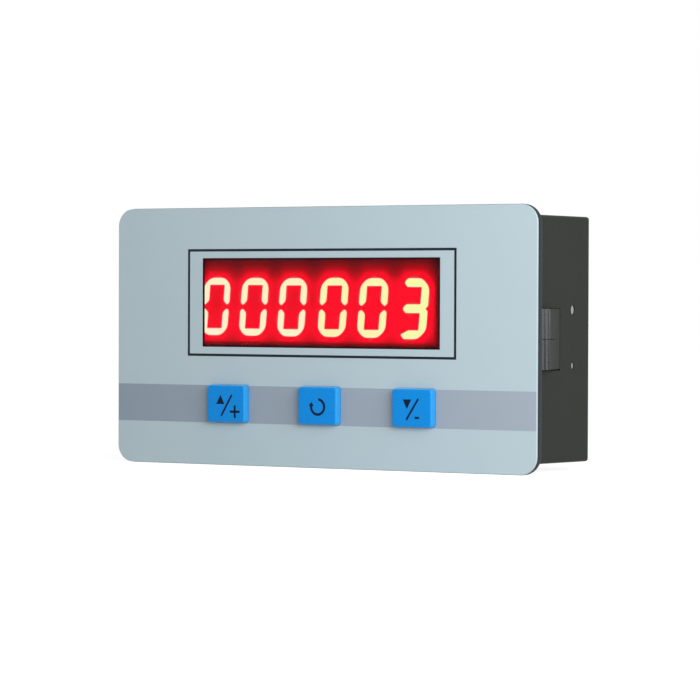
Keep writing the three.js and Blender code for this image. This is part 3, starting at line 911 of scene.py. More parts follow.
@dataclass(frozen=True)
class TwoPart(Finish):
    """Two surfaces on one piece, such as a body with bare metal legs, told apart by a box.

    Both keep the default index, which is close to theirs, and the grain's relief is the inner one's.

    Attributes:
        node: the CAD node that the box is taken from; it ends the finish's name.
        inner: the surface inside the box.
        outer: the surface outside it.
        low_margin: how far the box stays inside the node's lowest corner, in millimetres.
        high_margin: how far it stays inside the highest corner.
    """

    node: str
    inner: Surface
    outer: Surface
    low_margin: Triple
    high_margin: Triple

    @property
    def name(self) -> str:
        """Names the finish for its two surfaces and the node it fits."""
        return f"{self.inner.name}_and_{self.outer.name}_on_{self.node}"

    def inside(self, tree: bpy.types.NodeTree) -> bpy.types.NodeSocket:
        """Builds the factor that is 1 inside the box round the inner surface."""
        low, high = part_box(self.node)
        low = low + Vector(self.low_margin) * MM
        high = high - Vector(self.high_margin) * MM
        coordinates = add_node(tree, "TexCoord").outputs["Object"]
        axes = add_node(tree, "SeparateXYZ", sockets={"Vector": coordinates})
        factor: Value = 1.0
        for axis in range(3):
            in_span = add_node(
                tree,
                "Math",
                {"operation": "COMPARE"},
                {0: axes.outputs[axis], 1: (low[axis] + high[axis]) / 2, 2: (high[axis] - low[axis]) / 2},
            )
            both = add_node(tree, "Math", {"operation": "MULTIPLY"}, {0: in_span.outputs[0], 1: factor})
            factor = both.outputs[0]
        return factor

    def shader(self, tree: bpy.types.NodeTree) -> bpy.types.Node:
        """Builds both surfaces and the switch between them."""
        inside = self.inside(tree)
        inner, outer = self.inner.pattern(tree), self.outer.pattern(tree)
        colour = add_node(tree, "Mix", {"data_type": "RGBA"}, {0: inside, 6: outer.colour, 7: inner.colour})
        pairs = {
            "Roughness": (outer.roughness, inner.roughness),
            "Metallic": (self.outer.metallic, self.inner.metallic),
            "Specular IOR Level": (self.outer.specular, self.inner.specular),
        }
        switched = {
            name: add_node(tree, "Mix", sockets={0: inside, 2: far, 3: near}).outputs[0]
            for name, (far, near) in pairs.items()
        }
        bump = add_node(tree, "Bump", sockets={"Height": inner.height, "Distance": self.inner.relief * MM})
        return add_node(
            tree,
            "BsdfPrincipled",
            sockets={"Base Color": colour.outputs[2], "Normal": bump.outputs[0], **switched},
        )


@dataclass(frozen=True)
class ClearAcrylic(Finish):
    """Cast acrylic sheet with an anti-glare coat: see-through, with hardly a reflection.

    Attributes:
        name: the finish's name.
        tint: the colour of what shows through it.
        ior: the refractive index.
        coat: what the anti-glare coat leaves of a white reflection.
        haze: the lowest and the highest roughness of the coat.
        grain: the width of the coat's fine unevenness in millimetres.
    """

    name: str
    tint: str
    ior: float
    coat: str
    haze: Point
    grain: float

    def shader(self, tree: bpy.types.NodeTree) -> bpy.types.Node:
        """Builds the sheet."""
        coordinates = add_node(tree, "TexCoord").outputs["Object"]
        coat = add_node(tree, "TexNoise", sockets={"Vector": coordinates, "Scale": per_metre(self.grain)})
        haze = add_node(
            tree,
            "MapRange",
            sockets={"Value": coat.outputs[0], "To Min": self.haze[0], "To Max": self.haze[1]},
        )
        return add_node(
            tree,
            "BsdfPrincipled",
            sockets={
                "Base Color": linear(self.tint),
                "Roughness": haze.outputs[0],
                "IOR": self.ior,
                "Specular Tint": linear(self.coat),
                "Transmission Weight": 1.0,
            },
        )


@dataclass(frozen=True)
class Glow(Finish):
    """Plastic that light fills: its glow follows a value kept on the mesh.

    Attributes:
        name: the finish's name.
        attribute: the name of the value, from 0 to 1.
        stops: for values from 0 to 1, the colour of the glow.
        strength: how strong a white glow is.
        unlit: the plastic's own colour.
        roughness: its roughness.
        specular: its share of gloss.
    """

    name: str
    attribute: str
    stops: tuple[tuple[float, str], ...]
    strength: float
    unlit: str
    roughness: float
    specular: float

    def shader(self, tree: bpy.types.NodeTree) -> bpy.types.Node:
        """Builds the glow over the plastic."""
        value = add_node(tree, "Attribute", {"attribute_name": self.attribute})
        ramp = add_node(tree, "ValToRGB", sockets={0: value.outputs["Fac"]})
        elements = ramp.color_ramp.elements
        for _ in self.stops[2:]:
            elements.new(1.0)
        for element, (place, colour) in zip(elements, self.stops):
            element.position = place
            element.color = linear(colour)
        return add_node(
            tree,
            "BsdfPrincipled",
            sockets={
                "Base Color": linear(self.unlit),
                "Roughness": self.roughness,
                "Specular IOR Level": self.specular,
                "Emission Color": ramp.outputs[0],
                "Emission Strength": self.strength,
            },
        )


@dataclass(frozen=True)
class SolderMask(Finish):
    """Green solder resist on glass epoxy, with copper tracks showing lighter under it.

    Attributes:
        name: the finish's name.
        resist: the colour of the resist on bare laminate.
        over_copper: its colour over copper.
        track_pitch: the spacing of the tracks in millimetres.
        track_length: the length of a track in millimetres.
        track_share: the width of a track as a share of the spacing.
        relief: how far a track stands up under the resist, in millimetres.
        roughness: the gloss of the resist.
    """

    name: str
    resist: str
    over_copper: str
    track_pitch: float
    track_length: float
    track_share: float
    relief: float
    roughness: float

    def shader(self, tree: bpy.types.NodeTree) -> bpy.types.Node:
        """Builds the board's surface."""
        coordinates = add_node(tree, "TexCoord").outputs["Object"]
        flat = add_node(
            tree, "Mapping", sockets={"Vector": coordinates, "Rotation": (math.pi / 2, 0.0, 0.0)}
        )
        tracks = add_node(
            tree,
            "TexBrick",
            sockets={
                "Vector": flat.outputs[0],
                "Color1": linear(self.resist),
                "Color2": linear(self.resist),
                "Mortar": linear(self.over_copper),
                "Scale": 1.0,
                "Brick Width": self.track_length * MM,
                "Row Height": self.track_pitch * MM,
                "Mortar Size": self.track_pitch * self.track_share * MM,
            },
        )
        bump = add_node(
            tree, "Bump", sockets={"Height": tracks.outputs["Fac"], "Distance": self.relief * MM}
        )
        return add_node(
            tree,
            "BsdfPrincipled",
            sockets={
                "Base Color": tracks.outputs["Color"],
                "Roughness": self.roughness,
                "Normal": bump.outputs[0],
            },
        )


# The real grains of these moulded, printed and plated surfaces are mostly finer than 0.1 mm. They
# are drawn 0.1 to 0.4 mm wide, as fine as shows.

# Polycarbonate film, velvet-textured and printed from behind: an even, soft blue-grey sheen
FACE_FILM = Surface(
    name="printed_velvet_polycarbonate",
    colours=("#B0C2CA", "#B4C6CD"),
    cloud=14.0,
    grain=0.3,
    roughness=(0.42, 0.52),
    specular=0.3,
    ior=1.58,
)
# Screen ink of the grey band: flat and a little chalky beside the film, and painted lighter towards the
# right end as painted light
BAND_INK = InkWithPaintedLightGradient(
    name="grey_screen_ink",
    painted_lit_colour="#9FA9B6",
    colours=("#8B9AA6", "#8F9EAA"),
    cloud=14.0,
    grain=0.3,
    roughness=(0.48, 0.58),
    specular=0.25,
)
# Screen ink of the frame line: near black with a cold cast
LINE_INK = Surface(
    name="blue_black_screen_ink",
    colours=("#0C1820", "#101D26"),
    cloud=3.0,
    grain=0.25,
    roughness=(0.4, 0.5),
    specular=0.2,
)
# Black ink round the window: painted shade along the window's edge, which swallows the light there
WINDOW_EDGE_SHADE_INK = Surface(
    name="black_window_border_ink",
    colours=("#120A0E", "#180D11"),
    cloud=3.0,
    grain=0.25,
    relief=0.001,
    roughness=(0.6, 0.7),
    specular=0.05,
)
# Injection-moulded ABS from a fine spark-eroded mould: dark warm grey, even and nearly matt
CASE_ABS = Surface(
    name="moulded_dark_grey_abs",
    colours=("#292B28", "#2C2E2B"),
    cloud=9.0,
    grain=0.35,
    roughness=(0.48, 0.56),
    specular=0.07,
    ior=1.53,
)
# The same ABS on the flange, which a tighter mould face leaves smoother; its cooler, lighter colour is a
# painted highlight along the rim
PAINTED_LIT_RIM_ABS = Surface(
    name="moulded_smooth_grey_abs",
    colours=("#2A3032", "#2D3335"),
    cloud=9.0,
    grain=0.35,
    relief=0.001,
    roughness=(0.42, 0.5),
    specular=0.1,
    ior=1.53,
)
# The same ABS on the clips, polished by the panel: their teeth draw thin light lines
CLIP_ABS = Surface(
    name="rubbed_dark_grey_abs",
    colours=("#2A2E30", "#2D3133"),
    cloud=3.0,
    grain=0.3,
    relief=0.0005,
    roughness=(0.26, 0.32),
    specular=0.45,
    ior=1.53,
)
# The same ABS on the nubs' ends, painted pale as a painted highlight, with a little gloss
NUB_HIGHLIGHT_ABS = Surface(
    name="stress_whitened_abs",
    colours=("#9A9C99", "#868885"),
    cloud=0.6,
    grain=0.2,
    roughness=(0.35, 0.45),
    specular=0.4,
    ior=1.53,
)
# Polished-mould ABS: saturated blue with a sheen, and a painted highlight that makes the rims and the sides
# paler
KEY_ABS = PaintedRimHighlightPlastic(
    name="satin_blue_abs",
    painted_lit_colour="#2895DC",
    colours=("#0086DA", "#008BDF"),
    cloud=6.0,
    grain=0.3,
    relief=0.0003,
    roughness=(0.25, 0.3),
    specular=0.14,
    ior=1.53,
    sheen=0.9,
    sheen_colour="#7CCBFF",
)
# Pad-printed ink of the keys' signs: dark navy, a little raised and flat
SIGN_INK = Surface(
    name="navy_pad_print_ink",
    colours=("#02122E", "#041736"),
    cloud=1.0,
    grain=0.15,
    relief=0.001,
    roughness=(0.4, 0.5),
    specular=0.12,
)
# Filled polycarbonate of the display shells: dull and dark red-black
SHELL_POLYCARBONATE = Surface(
    name="moulded_dark_red_polycarbonate",
    colours=("#2A1012", "#321416"),
    cloud=4.0,
    grain=0.3,
    relief=0.004,
    roughness=(0.5, 0.65),
    ior=1.58,
)
# Cast red epoxy of the light guides: smooth and deep, lit from behind
GUIDE_EPOXY = Surface(
    name="cast_red_epoxy",
    colours=("#E0281C", "#C81E16"),
    cloud=1.5,
    grain=0.4,
    relief=0.001,
    roughness=(0.25, 0.35),
    ior=1.55,
)
# Transfer-moulded epoxy of the chips: charcoal and matt from the filler
CHIP_EPOXY = Surface(
    name="moulded_black_epoxy",
    colours=("#1B1C1D", "#242526"),
    cloud=2.0,
    grain=0.15,
    relief=0.004,
    roughness=(0.5, 0.65),
)
# Glass-filled nylon of the switches: black with a faint dry sheen
SWITCH_NYLON = Surface(
    name="moulded_black_nylon",
    colours=("#17181A", "#1F2022"),
    cloud=2.0,
    grain=0.25,
    relief=0.005,
    roughness=(0.45, 0.6),
    ior=1.53,
)
# Natural nylon of the header: warm white and slightly waxy
HEADER_NYLON = Surface(
    name="natural_nylon",
    colours=("#E4E0D4", "#DAD5C6"),
    cloud=3.0,
    grain=0.3,
    relief=0.004,
    roughness=(0.38, 0.5),
    ior=1.53,
)
# Bright tin plate over brass: silvery, with fine drawing lines along the pins
TIN_PLATE = Surface(
    name="bright_tin_plate",
    colours=("#C9CCCE", "#BDC0C3"),
    cloud=1.2,
    grain=0.12,
    relief=0.001,
    roughness=(0.22, 0.36),
    metallic=1.0,
    stretch=(1.0, 12.0, 1.0),
)
# Rolled stainless steel of the switch plates and domes: grey with long rolling lines
ROLLED_STEEL = Surface(
    name="rolled_stainless_steel",
    colours=("#B9BBBC", "#ADAFB1"),
    cloud=2.0,
    grain=0.1,
    relief=0.001,
    roughness=(0.25, 0.4),
    metallic=1.0,
    stretch=(14.0, 1.0, 1.0),
)
# Zinc-plated steel of the screws: bluish silver, mottled by the passivation
ZINC_PLATE = Surface(
    name="passivated_zinc_plate",
    colours=("#B4B7BA", "#A5AAB4"),
    cloud=0.8,
    grain=0.2,
    roughness=(0.3, 0.45),
    metallic=1.0,
)
# Deep-drawn aluminium of the capacitor cans: bright, with lines along the draw
DRAWN_ALUMINIUM = Surface(
    name="drawn_aluminium",
    colours=("#D2D5D8", "#C6C9CC"),
    cloud=2.5,
    grain=0.1,
    relief=0.001,
    roughness=(0.2, 0.32),
    metallic=1.0,
    stretch=(1.0, 16.0, 1.0),
)
# Glazed thick-film resistor body: near black and glassy
RESISTOR_GLAZE = Surface(
    name="glazed_resistor_body",
    colours=("#23262B", "#2A2E33"),
    cloud=0.8,
    grain=0.15,
    relief=0.001,
    roughness=(0.18, 0.3),
)
# Fired barium titanate of the ceramic capacitors: tan with a fine speckle
CAPACITOR_CERAMIC = Surface(
    name="fired_tan_ceramic",
    colours=("#A98A63", "#9C7D58"),
    cloud=0.4,
    grain=0.12,
    roughness=(0.4, 0.55),
)
# Glass-epoxy board of the display modules: green laminate without tracks
DISPLAY_LAMINATE = Surface(
    name="bare_green_laminate",
    colours=("#1F6B3A", "#1A6034"),
    cloud=1.5,
    grain=0.3,
    roughness=(0.4, 0.5),
)
# Screened resist over etched copper: deep green, half glossy, with paler raised tracks
BOARD_RESIST = SolderMask(
    name="green_solder_resist",
    resist="#155A2E",
    over_copper="#2F7F46",
    track_pitch=1.27,
    track_length=7.62,
    track_share=0.14,
    relief=0.03,
    roughness=0.35,
)
# Cast acrylic with an anti-glare coat: shows the digits clearly and reflects next to nothing. The
# coat's real grain, about 0.05 mm wide, is drawn 0.5 mm wide.
WINDOW_ACRYLIC = ClearAcrylic(
    name="anti_glare_cast_acrylic",
    tint="#FFF4F3",
    ior=1.49,
    coat="#241C1C",
    haze=(0.0, 0.03),
    grain=0.5,
)
# Diffusing film over the displays: saturated red round the lit strokes, falling off to dark
# red, and dull pink where the strokes spill light into it
RED_GLOW = Glow(
    name="glowing_red_diffuser_film",
    attribute="glow",
    stops=(
        (0.0, "#1A0409"),
        (0.1, "#6A0D13"),
        (0.34, "#AA0913"),
        (0.64, "#E00B1F"),
        (0.85, "#FF0828"),
        (1.0, "#D8504C"),
    ),
    strength=1.0,
    unlit="#180406",
    roughness=0.6,
    specular=0.0,
)
# Clear epoxy of the lit strokes: dull at the edge, near white inside, yellower on the right
LIT_EPOXY = Glow(
    name="lit_clear_epoxy",
    attribute="yellowing",
    stops=((0.0, "#EAA68C"), (0.22, "#EFE8CE"), (0.34, "#EEEBC8"), (0.66, "#ECEDAE"), (1.0, "#E4F5A7")),
    strength=1.15,
    unlit="#301008",
    roughness=0.4,
    specular=0.0,
)


def install(
    piece: bpy.types.Object,
    finish: Finish,
    body: Body = Body.MODULE,
    replaces: Sequence[str] = (),
) -> None:
    """Finishes a new piece and hangs it on its body.

    Args:
        piece: the piece, in place.
        finish: its finish.
        body: the body that it moves with.
        replaces: the CAD nodes that it stands for.
    """
    piece.data.materials.clear()
    piece.data.materials.append(finish.material())
    smooth(piece)
    if replaces:
        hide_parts(*replaces)
    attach(piece, body.value)
    LOG.info("%s: %d faces, %s", piece.name, len(piece.data.polygons), finish.name)


def window_loop(margin: float = 0.0) -> Loop:
    """Draws the window's outline, made smaller on each side by a margin."""
    return box_loop(
        LAYOUT.window_width - 2 * margin,
        LAYOUT.window_height - 2 * margin,
        LAYOUT.window_across,
        LAYOUT.window_up,
    )


def key_loop(sign: KeySign, gap: float = 0.0) -> Loop:
    """Draws the outline of a key's cap, made larger on each side by a gap."""
    key = NodeBox.of(f"{sign.value}_key")
    return soften(key.loop(LAYOUT.key_stop_margin - gap), LAYOUT.key_radius)


def nub_loop(radius: float, up: float, margin: float = 0.0) -> Loop:
    """Draws a nub's outline on the case's side, an upright oval.

    Args:
        radius: half the nub's height.
        up: how high its middle lies.
        margin: how much larger the outline is made.

    Returns:
        The outline.
    """
    turns = [2 * math.pi * side / ROUND_SIDES for side in range(ROUND_SIDES)]
    half_width, half_height = radius * LAYOUT.nub_squeeze + margin, radius + margin
    return [(LAYOUT.nub_back + half_width * math.cos(a), up + half_height * math.sin(a)) for a in turns]


def side_span(side: Side, inner: float, outer: float) -> Point:
    """Gives the span between two places on one side of the case, lower end first."""
    return tuple(sorted((side.value * inner, side.value * outer)))


# Sub-assemblies


@dataclass
class FacePanel:
    """The printed film on the front, with its band and frame line, and a black strip of painted shade just
    inside the window.
    """

    corner_radius: float = 2.85
    cut_rim: float = 0.1
    right_inset: float = 0.16
    ink_proud: float = 0.012
    ink_root: float = 0.05
    band_low: float = 6.9
    band_high: float = 13.0
    line_width: float = 50.12
    line_height: float = 17.1
    line_across: float = -0.26
    line_up: float = 26.5
    line_stroke: float = 0.41
    border_stroke: float = 0.2
    border_inset: float = 0.01

    @property
    def ink_span(self) -> Point:
        """Gives where the prints start and end, a little proud of the film."""
        return (LAYOUT.film.front - self.ink_proud, LAYOUT.film.front + self.ink_root)

    def build(self) -> None:
        """Makes the film and its prints."""
        self.film()
        self.band()
        self.frame_line()
        self.border()

    def film(self) -> None:
        """Makes the film, cut out for the window and the keys."""
        outline = rounded_loop(
            LAYOUT.film.width - self.right_inset,
            LAYOUT.film.height,
            self.corner_radius,
            -self.right_inset / 2,
            LAYOUT.case.up,
        )
        holes = [window_loop(), *(key_loop(sign, LAYOUT.print_gap) for sign in KeySign)]
        draft = Draft().plate(outline, (LAYOUT.film.front, LAYOUT.flange_front), holes, (self.cut_rim, 0.0))
        install(draft.to_object("face_film"), FACE_FILM, replaces=["face_overlay"])

    def band(self) -> None:
        """Makes the grey band behind the keys."""
        outline = box_loop(
            LAYOUT.film.width - self.right_inset - 2 * self.cut_rim,
            self.band_high - self.band_low,
            -self.right_inset / 2,
            (self.band_high + self.band_low) / 2,
        )
        holes = [key_loop(sign, LAYOUT.print_gap) for sign in KeySign]
        draft = Draft().plate(outline, self.ink_span, holes)
        install(draft.to_object("grey_band_print"), BAND_INK)

    def frame_line(self) -> None:
        """Makes the thin line round the window."""
        outer, inner = (
            box_loop(
                self.line_width + side * self.line_stroke,
                self.line_height + side * self.line_stroke,
                self.line_across,
                self.line_up,
            )
            for side in (1, -1)
        )
        draft = Draft().plate(outer, self.ink_span, [inner])
        install(draft.to_object("frame_line_print"), LINE_INK)

    def border(self) -> None:
        """Makes the black strip of painted shade just inside the window."""
        span = (LAYOUT.film.front + self.border_inset, LAYOUT.flange_front)
        draft = Draft().plate(window_loop(), span, [window_loop(self.border_stroke)])
        install(draft.to_object("window_border_print"), WINDOW_EDGE_SHADE_INK)


@dataclass
class Window:
    """The clear sheet between the face and the displays."""

    rim: float = 0.05
    corner_radius: float = 0.2

    def build(self) -> None:
        """Makes the sheet, which lies in the recess of the case."""
        outline = soften(LAYOUT.sheet.loop(), self.corner_radius)
        draft = Draft().plate(outline, (LAYOUT.sheet.front, LAYOUT.sheet.back), rims=(self.rim, self.rim))
        install(draft.to_object("window_sheet"), WINDOW_ACRYLIC, replaces=["window_filter"])


@dataclass(frozen=True)
class LitDigit:
    """A digit's lit strokes and yellower cores, its filled outline, its height and yellowing."""

    strokes: list[Loop]
    cores: list[Loop]
    hull: Loop
    middle_up: float
    yellowing: float


@dataclass
class Displays:
    """What shows of the two display modules: the lit strokes in one diffusing film.

    The swelling is how much wider the strokes of each digit look than they are, because they
    are so bright. The drop is how far the digit sits below the middle of its module.
    """

    readings: tuple[str, str] = ("000", "003")
    digit_pitch: float = 7.38
    digit_width: float = 5.0
    digit_height: float = 9.26
    slant: float = math.radians(5)
    stroke: float = 1.02
    swellings: tuple[Triple, Triple] = ((0.17, 0.17, 0.19), (0.23, 0.26, 0.4))
    yellowings: tuple[Triple, Triple] = ((0.0, 0.1, 0.08), (0.5, 0.55, 0.85))
    drops: tuple[Triple, Triple] = ((-0.03, 0.0, 0.04), (0.02, 0.08, 0.16))
    outer_radius: float = 1.8
    inner_radius: float = 0.12
    tip_radius: float = 0.22
    taper_radius: float = 0.7
    end_radius: float = 0.4
    tip_rise: float = 0.26
    tip_share: float = 0.36
    taper: float = 0.66
    notch: float = 0.42
    stroke_rim: float = 0.03
    stroke_proud: float = 0.02
    film_thickness: float = 0.08
    film_left: float = -24.4
    film_right: float = 21.4
    film_low: float = 18.7
    film_high: float = 33.9
    grid_step: float = 0.5
    halo_steps: tuple[float, ...] = (0.1, 0.24, 0.5, 0.85)
    point_spacing: float = 0.07
    core_depth: float = 0.3
    core_radius: float = 0.05
    core_yellowing: float = 0.15
    top_yellowing: float = 0.15
    edge_depth: float = 0.12
    edge_share: float = 0.25
    full_reach: float = 0.55
    yellow_reach: float = 0.34
    fill_reach: float = 0.74
    glow_decay: float = 1.15
    low_decay: float = 0.62
    full_glow: float = 0.85
    spill_reach: float = 0.17
    edge_glow: float = 0.02
    low_edge: float = 1.17
    right_edge: float = 0.94
    edge_blur: float = 0.7

    def build(self) -> None:
        """Makes the strokes and the film round them."""
        digits = self.lit_digits()
        self.strokes(digits)
        self.film(digits)

    @property
    def film_back(self) -> float:
        """Gives the back of the film, which lies on the shells."""
        return NodeBox.of("left_display_shell").front

    @property
    def film_front(self) -> float:
        """Gives the front of the film."""
        return self.film_back - self.film_thickness

    def nought(self, turn: int, half: Point, stroke: float) -> list[Triple]:
        """Draws one half of an upright nought, round its middle.

        Args:
            turn: 1 for the upper half, -1 for the lower one.
            half: half the digit's width and height.
            stroke: how wide its strokes look.

        Returns:
            The corners, each with its radius; the ends taper towards the waist.
        """
        across, up = half
        inner_across, inner_up = across - stroke, up - stroke
        tip_across = across - self.tip_share * stroke
        right = [
            (tip_across, self.tip_rise, self.tip_radius),
            (across, self.tip_rise + self.tip_share * stroke, self.tip_radius),
            (across, up - stroke, self.outer_radius),
            (across - stroke, up, self.outer_radius),
        ]
        inner = [
            (inner_across, self.tip_rise + self.taper, self.taper_radius),
            (inner_across, inner_up, self.inner_radius),
        ]
        corners = [
            *right,
            *((-x, z, radius) for x, z, radius in reversed(right)),
            *((-x, z, radius) for x, z, radius in inner),
            *reversed(inner),
        ]
        return [(turn * x, turn * z, radius) for x, z, radius in corners]

    def three(self, half: Point, stroke: float) -> list[Triple]:
        """Draws an upright three, round its middle.

        Args:
            half: half the digit's width and height.
            stroke: how wide its strokes look.

        Returns:
            The corners, each with its radius.
        """
        across, up = half
        inner, edge = across - stroke, stroke / 2
        tip = edge - across
        return [
            (tip, stroke / 2 - up, self.tip_radius),
            (tip + edge, -up, self.end_radius),
            (inner, -up, self.outer_radius),
            (across, stroke - up, self.outer_radius),
            (across, -self.notch, self.tip_radius),
            (across - self.notch, 0.0, self.inner_radius),
            (across, self.notch, self.tip_radius),
            (across, up - stroke, self.outer_radius),
            (inner, up, self.outer_radius),
            (tip + edge, up, self.end_radius),
            (tip, up - edge, self.end_radius),
            (tip + edge, up - stroke, self.end_radius),
            (inner, up - stroke, self.inner_radius),
            (inner, edge, self.inner_radius),
            (tip + edge, edge, self.end_radius),
            (tip, 0.0, self.end_radius),
            (tip + edge, -edge, self.end_radius),
            (inner, -edge, self.inner_radius),
            (inner, stroke - up, self.inner_radius),
            (tip + stroke, stroke - up, self.tip_radius),
        ]

    def lit_digit(self, digit: Digit, place: Point, swelling: float, yellowing: float) -> LitDigit:
        """Draws one lit digit where it stands.

        Args:
            digit: which digit.
            place: its middle.
            swelling: how much wider its strokes look than they are.
            yellowing: how yellow it is.

        Returns:
            The strokes and the filled outline, leaning to the right.
        """
        stroke = self.stroke + swelling
        half = ((self.digit_width + swelling) / 2, (self.digit_height + swelling) / 2)
        across, up = half
        if digit is Digit.NOUGHT:
            shapes = [self.nought(turn, half, stroke) for turn in (1, -1)]
        else:
            shapes = [self.three(half, stroke)]
        corners = [[(x, z) for x, z, _ in shape] for shape in shapes]
        radii = [[radius for *_, radius in shape] for shape in shapes]
        rounded = [soften(loop, wished, RIM_STEPS) for loop, wished in zip(corners, radii)]
        cores = [soften(inset(loop, self.core_depth), self.core_radius, RIM_STEPS) for loop in corners]
        hull = mirrored([(across, up - stroke), (across - stroke, up)])
        lean = math.tan(self.slant)
        strokes, inner, (placed_hull,) = (
            [[(place[0] + x + z * lean, place[1] + z) for x, z in loop] for loop in loops]
            for loops in (rounded, cores, [hull])
        )
        return LitDigit(strokes, inner, placed_hull, place[1], yellowing)

    def lit_digits(self) -> list[LitDigit]:
        """Draws all lit digits where they stand on the displays."""
        digits = []
        modules = zip(Side, self.readings, self.swellings, self.yellowings, self.drops)
        for side, reading, swellings, yellowings, drops in modules:
            shell = NodeBox.of(f"{side.name.lower()}_display_shell")
            for index, digit in enumerate(reading):
                middle = shell.across + (index - (len(reading) - 1) / 2) * self.digit_pitch
                place = (middle, shell.up - drops[index])
                digits.append(self.lit_digit(Digit(digit), place, swellings[index], yellowings[index]))
        return digits

    def strokes(self, digits: Sequence[LitDigit]) -> None:
        """Makes the lit strokes: dull at the edge, yellower in the middle and at the top.

        Args:
            digits: the lit digits.
        """
        draft = Draft()
        yellowing = draft.mesh.verts.layers.float.new("yellowing")
        front = self.film_front - self.stroke_proud
        for digit in digits:
            for stroke, core in zip(digit.strokes, digit.cores):
                layers = [
                    (stroke, self.film_back),
                    (stroke, front + self.stroke_rim),
                    (inset(stroke, self.stroke_rim), front),
                    (inset(stroke, self.edge_depth), front),
                    (core, front),
                ]
                rings = [draft.ring(loop, along) for loop, along in layers]
                for ring, deeper in zip(rings[-2:], (0.0, self.core_yellowing)):
                    for corner in ring:
                        rise = (corner.co.z / MM - digit.middle_up) / self.digit_height
                        value = digit.yellowing + deeper + self.top_yellowing * rise
                        corner[yellowing] = self.edge_share + (1 - self.edge_share) * value
                for ring, after in zip(rings, rings[1:]):
                    draft.bridge(ring, after)
                draft.mesh.faces.new(rings[0])
                draft.mesh.faces.new(rings[-1])
        install(draft.to_object("lit_digits"), LIT_EPOXY)

    def glow_points(self, strokes: Sequence[Loop]) -> list[Point]:
        """Chooses points where the film's glow is set: rings round the strokes, and a grid.

        Args:
            strokes: the strokes' outlines.

        Returns:
            The points, none on a stroke and none close to another.
        """
        columns = int((self.film_right - self.film_left) / self.grid_step)
        rows = int((self.film_high - self.film_low) / self.grid_step)
        wished = [point for step in self.halo_steps for loop in strokes for point in inset(loop, -step)]
        wished += [
            (self.film_left + (column + 0.5) * self.grid_step, self.film_low + (row + 0.5) * self.grid_step)
            for column in range(columns)
            for row in range(rows)
        ]
        points = np.array(wished)
        spacing = self.point_spacing
        low = (self.film_left + spacing, self.film_low + spacing)
        high = (self.film_right - spacing, self.film_high - spacing)
        free = ((points > low) & (points < high)).all(axis=1) & ~within(points, strokes)
        free &= distances(points, strokes) > spacing
        chosen: dict[tuple[int, int], Point] = {}
        for (across, up), is_free in zip(wished, free):
            if is_free:
                chosen.setdefault((round(across / spacing), round(up / spacing)), (across, up))
        return list(chosen.values())

    def glow(self, points: np.ndarray, digits: Sequence[LitDigit]) -> np.ndarray:
        """Adds up the light that reaches points of the film from every digit.

        A digit is as bright between its strokes as close round it, its light reaches further
        down than up, and the film is dark above the window's lower edge and at its own right end.

        Args:
            points: the points, one to a row.
            digits: the lit digits.

        Returns:
            The glow of each point, from 0 to 1.
        """
        unlit = np.ones(len(points))
        nearest = np.full(len(points), np.inf)
        for digit in digits:
            gap = distances(points, digit.strokes)
            nearest = np.minimum(nearest, gap)
            outside = np.where(within(points, [digit.hull]), 0.0, distances(points, [digit.hull]))
            reach = np.maximum(np.minimum(gap, self.fill_reach), outside) - self.full_reach
            reach -= self.yellow_reach * digit.yellowing
            decay = np.where(points[:, 1] < digit.middle_up, self.low_decay, self.glow_decay)
            unlit *= 1 - np.clip(np.exp(-decay * reach), 0.0, 1.0)
        spill = np.exp(-((nearest / self.spill_reach) ** 2))
        window_low = LAYOUT.window_up - LAYOUT.window_height / 2
        above = points[:, 1] - window_low - self.low_edge
        inside = self.film_right - self.right_edge - points[:, 0]
        open_share = np.clip(np.minimum(above, inside) / self.edge_blur + 1, self.edge_glow, 1.0)
        return np.maximum((1 - unlit) * open_share * self.full_glow, spill)

    def film(self, digits: Sequence[LitDigit]) -> None:
        """Makes the diffusing film, cut out for the strokes.

        Args:
            digits: the lit digits.
        """
        strokes = [stroke for digit in digits for stroke in digit.strokes]
        sheet = box_loop(
            self.film_right - self.film_left,
            self.film_high - self.film_low,
            (self.film_left + self.film_right) / 2,
            (self.film_low + self.film_high) / 2,
        )
        points: list[Point] = []
        edges: list[tuple[int, int]] = []
        for loop in (sheet, *strokes):
            first = len(points)
            points += loop
            edges += [(first + i, first + (i + 1) % len(loop)) for i in range(len(loop))]
        points += self.glow_points(strokes)
        flat, _, faces, *_ = delaunay_2d_cdt([Vector(p) for p in points], edges, [], 0, WELD)
        loop = [tuple(point) for point in flat]
        middles = np.array([np.mean([loop[i] for i in corners], axis=0) for corners in faces])
        covered = within(middles, strokes)
        kept = [corners for corners, is_covered in zip(faces, covered) if not is_covered]
        draft = Draft()
        layer = draft.mesh.verts.layers.float.new("glow")
        front = draft.ring(loop, self.film_front)
        back = draft.ring(loop, self.film_back)
        for pair, value in zip(zip(front, back), self.glow(np.array(loop), digits)):
            for corner in pair:
                corner[layer] = value
        uses: Counter[frozenset[int]] = Counter()
        for corners in kept:
            uses.update(frozenset(pair) for pair in zip(corners, [*corners[1:], corners[0]]))
            for side in (front, back):
                draft.mesh.faces.new([side[i] for i in corners])
        for (i, j), count in uses.items():
            if count == 1:
                draft.mesh.faces.new([front[i], front[j], back[j], back[i]])
        install(draft.to_object("diffuser_film"), RED_GLOW)


